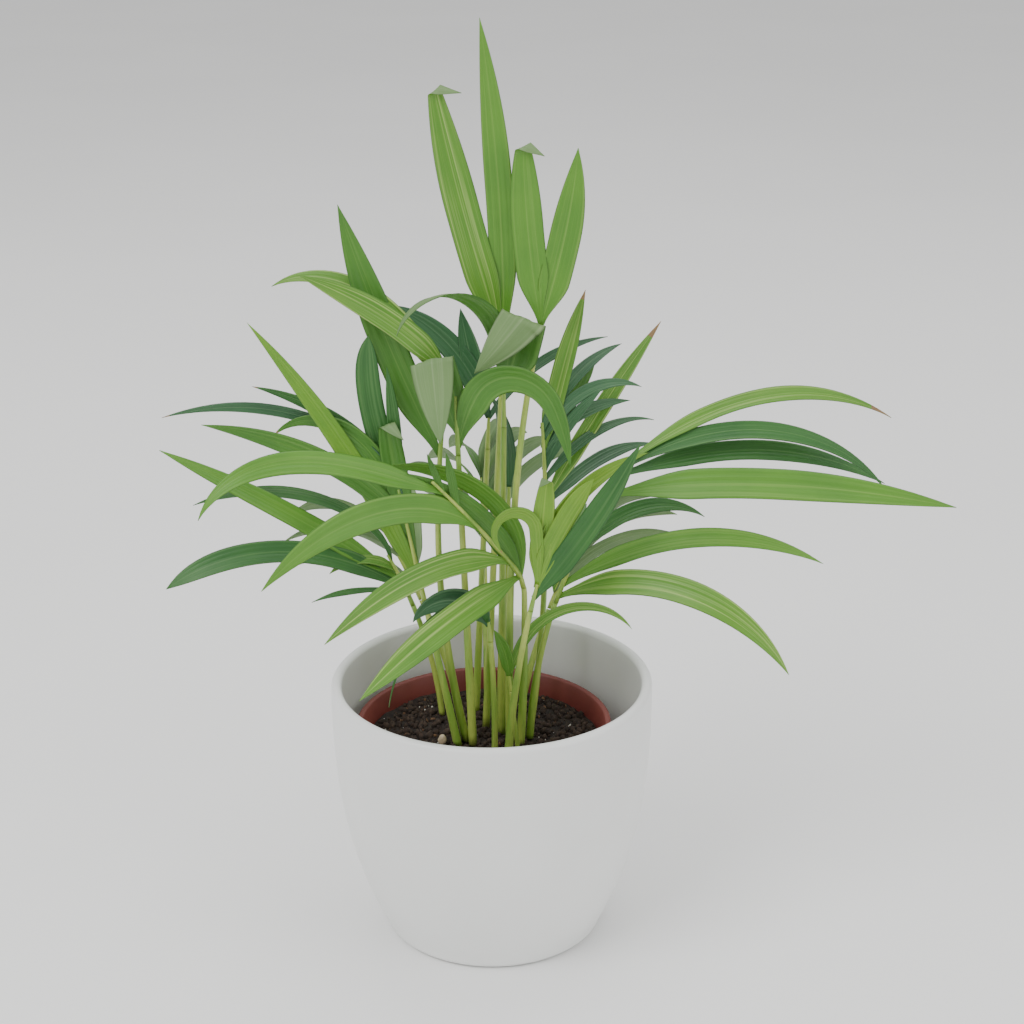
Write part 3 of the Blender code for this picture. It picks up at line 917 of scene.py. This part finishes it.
SOIL_CRUMB = GrainFinish(
    "soil_crumb", (0.018, 0.011, 0.008), (0.055, 0.034, 0.022), 0.95,
    mottle_scale=400.0, grain_scale=1500.0, bump=0.8, bump_depth=0.0006,
)
PERLITE = GrainFinish(
    "perlite_white", (0.62, 0.60, 0.55), (0.45, 0.42, 0.37), 0.9,
    mottle_scale=500.0, grain_scale=1500.0, bump=0.6, bump_depth=0.0004,
)
BARK = GrainFinish(
    "bark_tan", (0.16, 0.08, 0.035), (0.08, 0.04, 0.02), 0.9,
    mottle_scale=500.0, grain_scale=1500.0, bump=0.6, bump_depth=0.0004,
)
PEBBLE = GrainFinish(
    "pebble_pale", (0.52, 0.43, 0.29), (0.40, 0.31, 0.19), 0.7,
    mottle_scale=400.0, grain_scale=1500.0, bump=0.4, bump_depth=0.0003,
)
FLOOR = GrainFinish(
    "floor_pale", (0.90, 0.90, 0.89), (0.92, 0.92, 0.91), 0.7,
    mottle_scale=3.0, grain_scale=60.0, bump=0.02,
)


def hang_on(piece: bpy.types.Object, nodes: tuple) -> None:
    """Let a finished piece ride on the plant's one body and stand for its CAD nodes.

    Args:
        piece: the piece.
        nodes: the names of the nodes that it stands for, or none.
    """
    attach(piece, "root")
    if nodes:
        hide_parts(*nodes)
    LOG.info("%s: %d faces", piece.name, len(piece.data.polygons))


@dataclass
class BladeMesh:
    """Growing arrays of a joined mesh: corners, faces, UV places and each face's material."""

    corners: list = field(default_factory=list)
    faces: list = field(default_factory=list)
    places: list = field(default_factory=list)
    slots: list = field(default_factory=list)

    def face(self, corners: tuple, places: tuple, slot: int) -> None:
        """Add one face.

        Args:
            corners: numbers of its corners.
            places: their places on the UV map.
            slot: number of its material.
        """
        self.faces.append(corners)
        self.places.extend(places)
        self.slots.append(slot)

    def tube(self, rings: list, slot: int) -> None:
        """Add a closed tube, whose finish reads Object coordinates and not its UV places.

        Args:
            rings: rings of equal size, each a list of points.
            slot: number of its material.
        """
        first = len(self.corners)
        sides = len(rings[0])
        for ring in rings:
            self.corners.extend(ring)
        for row in range(len(rings) - 1):
            for side in range(sides):
                after = (side + 1) % sides
                low, high = first + row * sides, first + (row + 1) * sides
                corners = (low + side, low + after, high + after, high + side)
                places = tuple((c % TUBE_UV_COLUMNS * TUBE_UV_STEP, row * TUBE_UV_STEP) for c in corners)
                self.face(corners, places, slot)
        last = first + (len(rings) - 1) * sides
        self.face(tuple(first + s for s in reversed(range(sides))), ((0.0, 0.0),) * sides, slot)
        self.face(tuple(last + s for s in range(sides)), ((0.0, 0.0),) * sides, slot)

    def make(self, name: str, materials: list) -> bpy.types.Object:
        """Turn the arrays into a smooth object with its own UV map.

        Args:
            name: the piece's name.
            materials: what the faces' slots number.

        Returns:
            The new object, at the origin.
        """
        mesh = bpy.data.meshes.new(name)
        mesh.from_pydata([tuple(c * MM) for c in self.corners], [], self.faces)
        layer = mesh.uv_layers.new(name="blade")
        layer.data.foreach_set("uv", [v for place in self.places for v in place])
        mesh.polygons.foreach_set("material_index", self.slots)
        for material in materials:
            mesh.materials.append(material)
        mesh.shade_smooth()
        mesh.update()
        obj = bpy.data.objects.new(name, mesh)
        bpy.context.scene.collection.objects.link(obj)
        return obj


class Foliage:
    """Every stalk and frond of the plant."""

    def __init__(self) -> None:
        """Make the finishes once, for the pieces to take what they need."""
        self.order = list(Tint)
        self.materials = [GREENS[tint].make() for tint in self.order]
        self.materials += [UNDERSIDE.make(), DRY.make(), STALK.make()]
        self.under = len(self.order)
        self.dry = self.under + 1
        self.stalk = self.under + 2

    def stalk_rings(self, frond: Frond, low: float, high: float, count: int) -> list:
        """Rings along a stretch of stem, ribbed by its fibres and channelled on its upper side.

        Args:
            frond: the frond with its stem.
            low: where the stretch begins, as a fraction of their length.
            high: where it ends.
            count: how many rings it has.

        Returns:
            The rings, each a list of points.
        """
        fractions = list(np.linspace(low, high, count))
        lead_in = [0.0] if low > 0 else []
        root = (frond.foot[0], frond.foot[1], SOIL_TOP + GAP)
        marks = walk(root, frond, lead_in + fractions)[len(lead_in):]
        rings = []
        for fraction, (point, _, upper, width) in zip(fractions, marks):
            radius = stem_radius(frond, fraction)
            ring = []
            for side in range(STALK_SIDES):
                angle = 2 * math.pi * side / STALK_SIDES
                groove = 1.0 - GROOVE_DEPTH * max(0.0, math.cos(angle + math.pi / 2)) ** 4
                ridge = 1.0 + RIDGE_DEPTH * math.cos(FIBRE_RIDGES * angle + fraction * RIDGE_TURN)
                reach = radius * groove * ridge
                ring.append(point + reach * (width * math.cos(angle) - upper * math.sin(angle)))
            rings.append(ring)
        return rings

    def blade_stations(self, leaf: Leaf) -> list:
        """Fractions along a leaflet that its rows of corners lie at, closer together in a fold.

        Args:
            leaf: the leaflet.

        Returns:
            The rising fractions.
        """
        stations = list(np.linspace(0.0, 1.0, BLADE_STATIONS))
        if not leaf.fold:
            return stations
        half = math.radians(abs(leaf.fold.turn)) * FOLD_RADIUS / leaf.length / 2
        crease = [leaf.fold.at + half * share for share in np.linspace(-1.0, 1.0, FOLD_STATIONS)]
        before, after = crease[0] - FOLD_MARGIN, crease[-1] + FOLD_MARGIN
        stations = [s for s in stations if s < before or s > after]
        return sorted(stations + crease)

    def add_leaf(self, blades: BladeMesh, frond: Frond, leaf: Leaf, number: int, tint: Tint) -> None:
        """Add one leaflet: a pleated, keeled blade with an upper side, an underside and a rim.

        Args:
            blades: the mesh that it is added to.
            frond: the frond that carries it.
            leaf: the leaflet.
            number: its place in its frond, from 1.
            tint: the green of its upper side.
        """
        stations = self.blade_stations(leaf)
        foot = (frond.foot[0], frond.foot[1], SOIL_TOP + GAP)
        root = walk(foot, frond, [0.0, leaf.at])[-1][0]
        marks = walk(root, leaf, stations)
        first = len(blades.corners)
        ripple = (number * 1.7 + len(frond.name)) % 3.0
        for layer in (1.0, -1.0):
            for fraction, mark in zip(stations, marks):
                blades.corners.extend(self.blade_row(leaf, fraction, mark, layer, ripple))
        upper = self.order.index(tint)
        dry_from = 1.0 - DRY_TIPS.get((frond.name, number), 0.0)
        row = BLADE_STRIPS + 1
        sheet = len(stations) * row
        for layer, slot in enumerate((upper, self.under)):
            for i in range(len(stations) - 1):
                rows = (first + layer * sheet + i * row, stations[i], stations[i + 1])
                finish = self.dry if stations[i] >= dry_from else slot
                self.add_strips(blades, rows, leaf.length / UV_LENGTH, number, bool(layer), finish)
        self.add_rim(blades, first, len(stations), number, upper)

    def blade_row(self, leaf: Leaf, fraction: float, mark: tuple, layer: float, ripple: float) -> list:
        """One row of corners across a blade.

        Args:
            leaf: the leaflet.
            fraction: how far along it the row lies.
            mark: point, ahead, upper and width there.
            layer: 1 for the upper side and -1 for the underside.
            ripple: where the leaflet's own waves begin.

        Returns:
            The corners, from one edge to the other.
        """
        point, _, upper, width = mark
        half = half_width(leaf, fraction)
        rise = min(1.0, RELIEF_EASE * fraction) * min(1.0, RELIEF_EASE * (1.0 - fraction))
        corners = []
        for strip in np.linspace(-1.0, 1.0, BLADE_STRIPS + 1):
            wave = math.sin(RIPPLE_WAVES * fraction + RIPPLE_SKEW * strip + ripple)
            lift = KEEL_SLOPE * half * abs(strip) * rise
            lift += PLEAT_DEPTH * rise * math.cos(math.pi * PLEATS * strip)
            lift += RIPPLE_DEPTH * rise * abs(strip) ** 2 * wave
            thick = BLADE_THICKNESS / 2 * (1.0 - EDGE_THINNING * abs(strip) ** 4)
            corners.append(point + width * half * strip + upper * (lift + layer * thick))
        return corners

    def add_strips(
        self, blades: BladeMesh, rows: tuple, scale: float, number: int, below: bool, slot: int,
    ) -> None:
        """Add the faces between one row of corners and the next.

        Args:
            blades: the mesh that they are added to.
            rows: number of the first row's first corner, and the fractions of the two rows.
            scale: the leaflet's length on its UV map.
            number: the leaflet's place in its frond.
            below: whether they lie on the underside.
            slot: number of their material.
        """
        base, near, far = rows
        row = BLADE_STRIPS + 1
        for strip in range(BLADE_STRIPS):
            a = base + strip
            left = number + strip / BLADE_STRIPS * UV_SHARE + UV_MARGIN
            right = number + (strip + 1) / BLADE_STRIPS * UV_SHARE + UV_MARGIN
            corners = (a, a + 1, a + 1 + row, a + row)
            places = ((left, near * scale), (right, near * scale), (right, far * scale), (left, far * scale))
            if below:
                corners, places = corners[::-1], places[::-1]
            blades.face(corners, places, slot)

    def add_rim(self, blades: BladeMesh, first: int, rows: int, number: int, slot: int) -> None:
        """Close a blade's two sides along its edges, root and tip.

        Args:
            blades: the mesh that it is added to.
            first: number of the blade's first corner.
            rows: how many rows of corners each side has.
            number: the leaflet's place in its frond.
            slot: number of its material.
        """
        row = BLADE_STRIPS + 1
        sheet = rows * row
        ring = [i * row for i in range(rows)]
        ring += [(rows - 1) * row + j for j in range(1, row)]
        ring += [i * row + row - 1 for i in range(rows - 2, -1, -1)]
        ring += [j for j in range(row - 2, 0, -1)]
        place = (number + UV_MARGIN, 0.0)
        for here, there in zip(ring, ring[1:] + ring[:1]):
            corners = (first + here, first + there, first + sheet + there, first + sheet + here)
            blades.face(corners, (place,) * 4, slot)

    def build(self) -> None:
        """Grow every stalk and frond."""
        for frond in FRONDS:
            blades = BladeMesh()
            blades.tube(self.stalk_rings(frond, frond.opens, 1.0, RACHIS_STATIONS), self.stalk)
            for number, leaf in enumerate(frond.leaves, start=1):
                tints = TINTS.get(frond.name)
                tint = tints[number - 1] if tints else BACK_TINTS[number % len(BACK_TINTS)]
                self.add_leaf(blades, frond, leaf, number, tint)
            piece = blades.make(frond.name + "_leaflets", self.materials)
            self.turn_outwards(piece)
            hang_on(piece, (frond.name + "_frond",))
            stalk = BladeMesh()
            top = frond.opens - GAP / frond.length
            rings = self.stalk_rings(frond, 0.0, top, STALK_STATIONS)
            rings[0] = [np.array([c[0], c[1], SOIL_TOP + GAP]) for c in rings[0]]
            stalk.tube(rings, 0)
            piece = stalk.make(frond.name + "_stalk", self.materials[self.stalk:])
            self.turn_outwards(piece)
            hang_on(piece, (frond.name + "_stem",))

    def turn_outwards(self, piece: bpy.types.Object) -> None:
        """Point every face of a joined piece outwards.

        Args:
            piece: the piece.
        """
        clear_selection()
        piece.select_set(True)
        bpy.context.view_layer.objects.active = piece
        bpy.ops.object.mode_set(mode="EDIT")
        bpy.ops.mesh.select_all(action="SELECT")
        bpy.ops.mesh.normals_make_consistent(inside=False)
        bpy.ops.object.mode_set(mode="OBJECT")


def turned_piece(
    name: str, profile: list, centre: tuple, steps: int, material: bpy.types.Material,
) -> bpy.types.Object:
    """Spin a profile of (radius, height) about the upright axis into a closed smooth piece.

    Args:
        name: the piece's name.
        profile: points from the middle of the top, out and down, to the middle of the foot.
        centre: the axis, in the plan.
        steps: how many sides the round has.
        material: its finish.

    Returns:
        The new object, at the origin.
    """
    clear_selection()
    bpy.ops.mesh.primitive_plane_add(size=0.01, location=(0.0, 0.0, 0.0))
    piece = bpy.context.object
    piece.name = name
    piece.data.name = name
    bm = bmesh.new()
    line = [bm.verts.new(((centre[0] + r) * MM, centre[1] * MM, h * MM)) for r, h in profile]
    for near, far in zip(line[:-1], line[1:]):
        bm.edges.new((near, far))
    bm.to_mesh(piece.data)
    bm.free()
    bpy.ops.object.mode_set(mode="EDIT")
    bpy.ops.mesh.select_all(action="SELECT")
    bpy.ops.mesh.spin(
        steps=steps, angle=2 * math.pi, center=(centre[0] * MM, centre[1] * MM, 0.0), axis=(0.0, 0.0, 1.0),
    )
    bpy.ops.mesh.select_all(action="SELECT")
    bpy.ops.mesh.remove_doubles(threshold=0.000002)
    bpy.ops.mesh.normals_make_consistent(inside=False)
    bpy.ops.object.mode_set(mode="OBJECT")
    bpy.ops.object.shade_smooth_by_angle(angle=math.radians(50.0))
    piece.data.materials.append(material)
    return piece


@dataclass
class Pots:
    """The cover pot and the growing pot in it.

    The three tuples of (radius, height) steps round the growing pot's lip: at its inner top corner,
    at its outer top corner and where it turns back to the wall.
    """

    sides: int = 144
    grow_sides: int = 96
    inner_rows: int = 26
    outer_rows: int = 30
    floor_corner: float = 5.0
    floor_rise: float = 2.0
    lip_inside: tuple = ((0.0, -0.7), (0.4, -0.15), (1.0, 0.0))
    lip_outside: tuple = ((-0.5, 0.0), (-0.1, -0.3), (0.0, -1.0))
    lip_return: tuple = ((-0.5, 0.4), (-0.9, 0.0))

    def outer(self, height: float) -> float:
        """Outer radius of the cover pot at a height."""
        part = height / POT_HEIGHT
        return POT_FOOT_RADIUS + (POT_RIM_RADIUS - POT_FOOT_RADIUS) * (1 - (1 - part) ** POT_SWELL)

    def cover_profile(self) -> list:
        """Profile of the cover pot: inner floor and wall, rounded lip, outer wall and rounded foot.

        Returns:
            Points of (radius, height), from the middle of the floor to the middle of the foot.
        """
        lip = POT_WALL / 2
        corner = self.outer(POT_FLOOR) - POT_WALL - self.floor_corner
        profile = [(0.0, POT_FLOOR), (corner, POT_FLOOR)]
        for height in np.linspace(POT_FLOOR + self.floor_rise, POT_HEIGHT - lip, self.inner_rows):
            profile.append((self.outer(height) - POT_WALL, float(height)))
        middle = self.outer(POT_HEIGHT - lip) - lip
        for degrees in range(162, 0, -18):
            angle = math.radians(degrees)
            profile.append((middle + lip * math.cos(angle), POT_HEIGHT - lip + lip * math.sin(angle)))
        for height in np.linspace(POT_HEIGHT - lip, POT_CORNER, self.outer_rows):
            profile.append((self.outer(height), float(height)))
        foot = self.outer(POT_CORNER) - POT_CORNER
        for degrees in range(15, 91, 15):
            angle = math.radians(degrees)
            profile.append((foot + POT_CORNER * math.cos(angle), POT_CORNER * (1 - math.sin(angle))))
        profile.append((0.0, 0.0))
        return profile

    def grow_radius(self, height: float) -> float:
        """Outer radius of the growing pot's straight slanting wall.

        Args:
            height: height above the floor that the pots stand on.

        Returns:
            The radius there.
        """
        low = POT_FLOOR + GAP
        part = (height - low) / (GROW_RIM_HEIGHT - low)
        return GROW_BASE_RADIUS + (GROW_RIM_RADIUS - GROW_LIP - GROW_BASE_RADIUS) * part

    def grow_profile(self) -> list:
        """Profile of the growing pot, with its rolled lip.

        Returns:
            Points of (radius, height), from the middle of the inner floor to the middle of the foot.
        """
        low = POT_FLOOR + GAP
        lip_foot = GROW_RIM_HEIGHT - GROW_LIP_DEPTH
        inner = self.grow_radius(GROW_RIM_HEIGHT) - GROW_WALL
        return [
            (0.0, low + GROW_WALL),
            (GROW_BASE_RADIUS - GROW_WALL, low + GROW_WALL),
            (self.grow_radius(lip_foot) - GROW_WALL, lip_foot),
            *((inner + out, GROW_RIM_HEIGHT + up) for out, up in self.lip_inside),
            *((GROW_RIM_RADIUS + out, GROW_RIM_HEIGHT + up) for out, up in self.lip_outside),
            *((GROW_RIM_RADIUS + out, lip_foot + up) for out, up in self.lip_return),
            (self.grow_radius(lip_foot), lip_foot),
            (GROW_BASE_RADIUS, low),
            (0.0, low),
        ]

    def build(self) -> None:
        """Make both pots."""
        profile = self.cover_profile()
        cover = turned_piece("cover_pot", profile, (0.0, 0.0), self.sides, GLAZE.make())
        hang_on(cover, ("pot",))
        profile = self.grow_profile()
        inner = turned_piece("growing_pot", profile, GROW_CENTRE, self.grow_sides, BROWN_PLASTIC.make())
        hang_on(inner, ("grow_pot",))


@dataclass
class Soil:
    """The potting soil: an uneven bed, crumbs, perlite, bark bits and a pale pebble."""

    radius: float = 54.5
    bed_rings: int = 30
    bed_sides: int = 96
    foot_radius: float = GROW_BASE_RADIUS - 2.0
    foot_height: float = POT_FLOOR + 2.4
    bare_edge: float = 2.0
    small_grains: float = 2.5
    grain_lift: float = 0.25
    crumbs: int = 2600
    perlite: int = 150
    bits: int = 260
    pebble_at: tuple = (-23.5, -6.0)
    pebble_radius: float = 2.6

    def bed_height(self, x: float, y: float) -> float:
        """Height of the bed, which has broad swells and shorter ones on them.

        Args:
            x: place across.
            y: place towards the back.

        Returns:
            The height there.
        """
        swell = 1.1 * math.sin(x * 0.16 + 1.0) * math.cos(y * 0.13)
        short = 0.7 * math.sin(x * 0.41) * math.sin(y * 0.37 + 2)
        return SOIL_TOP - 0.6 + (swell + short) * 0.8

    def build_bed(self, material: bpy.types.Material) -> None:
        """The bed: a disc shaped by its own relief, closed down to the growing pot's floor.

        Args:
            material: its finish.
        """
        steps = range(self.bed_rings + 1)
        profile = [(self.radius * step / self.bed_rings, SOIL_TOP) for step in steps]
        profile += [(self.foot_radius, self.foot_height), (0.0, self.foot_height)]
        bed = turned_piece("soil_bed", profile, GROW_CENTRE, self.bed_sides, material)
        for vertex in bed.data.vertices:
            if vertex.co.z > (SOIL_TOP - 1.0) * MM:
                vertex.co.z = self.bed_height(vertex.co.x / MM, vertex.co.y / MM) * MM
        hang_on(bed, ("soil",))

    def scatter(
        self, name: str, count: int, sizes: tuple, flat: float, seed: int, material: bpy.types.Material,
    ) -> None:
        """Strew one kind of grain over the bed as one joined mesh of small lumps.

        Args:
            name: the piece's name.
            count: how many grains it has.
            sizes: the smallest and the largest radius.
            flat: the least height of a grain as a share of its length.
            seed: what the grains' places are drawn from.
            material: their finish.
        """
        small, large = sizes
        dice = np.random.default_rng(seed)
        ball = bmesh.new()
        bmesh.ops.create_icosphere(ball, subdivisions=1, radius=1.0)
        shape = np.array([v.co[:] for v in ball.verts])
        faces = [[v.index for v in f.verts] for f in ball.faces]
        ball.free()
        grains = BladeMesh()
        for _ in range(count):
            reach = (self.radius - self.bare_edge) * math.sqrt(dice.random())
            angle = dice.random() * 2 * math.pi
            x = GROW_CENTRE[0] + reach * math.cos(angle)
            y = GROW_CENTRE[1] + reach * math.sin(angle)
            size = small + (large - small) * dice.random() ** self.small_grains
            stretch = np.array([1.0, 0.55 + 0.45 * dice.random(), flat + 0.35 * dice.random()])
            turn = np.array(Euler(dice.random(3) * 6.28).to_matrix())
            rough = shape * (0.75 + 0.5 * dice.random((len(shape), 1)))
            middle = np.array([x, y, self.bed_height(x, y) + size * self.grain_lift])
            lump = (rough * stretch * size) @ turn.T + middle
            first = len(grains.corners)
            grains.corners.extend(lump)
            for face in faces:
                grains.face(tuple(first + i for i in face), ((0.0, 0.0),) * 3, 0)
        piece = grains.make(name, [material])
        hang_on(piece, ())

    def build(self) -> None:
        """Make the bed and strew it."""
        self.build_bed(SOIL_DARK.make())
        self.scatter("soil_crumbs", self.crumbs, (0.5, 2.6), 0.5, SEED, SOIL_CRUMB.make())
        self.scatter("perlite_specks", self.perlite, (0.25, 0.8), 0.6, SEED + 1, PERLITE.make())
        self.scatter("bark_bits", self.bits, (0.4, 1.7), 0.25, SEED + 2, BARK.make())
        self.build_pebble(PEBBLE.make())

    def build_pebble(self, material: bpy.types.Material) -> None:
        """The one pale pebble that lies near the front.

        Args:
            material: its finish.
        """
        x, y = self.pebble_at
        clear_selection()
        place = (x * MM, y * MM, (SOIL_TOP + 1.6) * MM)
        radius = self.pebble_radius * MM
        bpy.ops.mesh.primitive_ico_sphere_add(subdivisions=4, radius=radius, location=place)
        pebble = bpy.context.object
        pebble.name = "pebble"
        pebble.scale = (0.75, 0.8, 1.1)
        pebble.rotation_euler = (0.2, 0.1, 0.4)
        bpy.ops.object.transform_apply(location=True, rotation=True, scale=True)
        middle = Vector(place)
        for vertex in pebble.data.vertices:
            ripple = 1.0 + 0.06 * math.sin(vertex.co.x * 1900) * math.sin(vertex.co.z * 1700 + 1)
            vertex.co = middle + (vertex.co - middle) * ripple
        bpy.ops.object.shade_smooth()
        pebble.data.materials.append(material)
        hang_on(pebble, ())


@dataclass(frozen=True)
class Lamp:
    """A square soft light: its place in metres, its side and its power in watts."""

    name: str
    place: tuple
    size: float
    power: float


@dataclass
class Studio:
    """Pale floor, soft light and the photograph's camera."""

    camera_at: tuple = (0.0, -904.5, 552.6)
    target: tuple = (10.0, 0.0, 208.5)
    roll: float = -0.37
    lens: float = 74.95
    sensor: float = 36.0
    floor_side: float = 12.0
    daylight: float = 0.75
    lit_point: tuple = (0.0, 0.0, 0.2)
    lamps: tuple = (
        Lamp("key", (-1.1, -1.0, 1.7), 1.2, 26.0),
        Lamp("fill", (1.3, -0.8, 1.0), 1.4, 9.0),
        Lamp("top", (0.1, 0.6, 1.8), 1.4, 14.0),
    )

    def build(self) -> None:
        """Set the floor, the lights and the camera."""
        self.build_floor()
        for lamp in self.lamps:
            self.build_lamp(lamp)
        world = bpy.data.worlds.new("studio")
        world.use_nodes = True
        background = world.node_tree.nodes["Background"]
        background.inputs[0].default_value = (1.0, 1.0, 1.0, 1.0)
        background.inputs[1].default_value = self.daylight
        bpy.context.scene.world = world
        self.build_camera()

    def build_floor(self) -> None:
        """A wide pale floor."""
        clear_selection()
        bpy.ops.mesh.primitive_plane_add(size=self.floor_side, location=(0.0, 0.0, 0.0))
        floor = bpy.context.object
        floor.name = "floor"
        floor.data.materials.append(FLOOR.make())

    def build_lamp(self, lamp: Lamp) -> None:
        """Hang one soft light so that it looks at the plant.

        Args:
            lamp: its name, place, size and power.
        """
        data = bpy.data.lights.new(lamp.name, "AREA")
        data.size = lamp.size
        data.energy = lamp.power
        light = bpy.data.objects.new(lamp.name, data)
        bpy.context.scene.collection.objects.link(light)
        light.location = lamp.place
        look = Vector(self.lit_point) - Vector(lamp.place)
        light.rotation_euler = look.to_track_quat("-Z", "Y").to_euler()

    def build_camera(self) -> None:
        """The camera at the photograph's angle."""
        data = bpy.data.cameras.new("camera")
        data.lens = self.lens
        data.sensor_width = self.sensor
        camera = bpy.data.objects.new("camera", data)
        bpy.context.scene.collection.objects.link(camera)
        place = Vector(self.camera_at) * MM
        look = (Vector(self.target) * MM - place).to_track_quat("-Z", "Y").to_matrix().to_4x4()
        roll = Matrix.Rotation(math.radians(self.roll), 4, "Z")
        camera.matrix_world = Matrix.Translation(place) @ look @ roll
        bpy.context.scene.camera = camera


def main() -> None:
    """Build the studio, the pots, the soil and the plant."""
    logging.basicConfig(level=logging.INFO)
    Studio().build()
    Pots().build()
    Soil().build()
    Foliage().build()


if __name__ == "__main__":
    main()
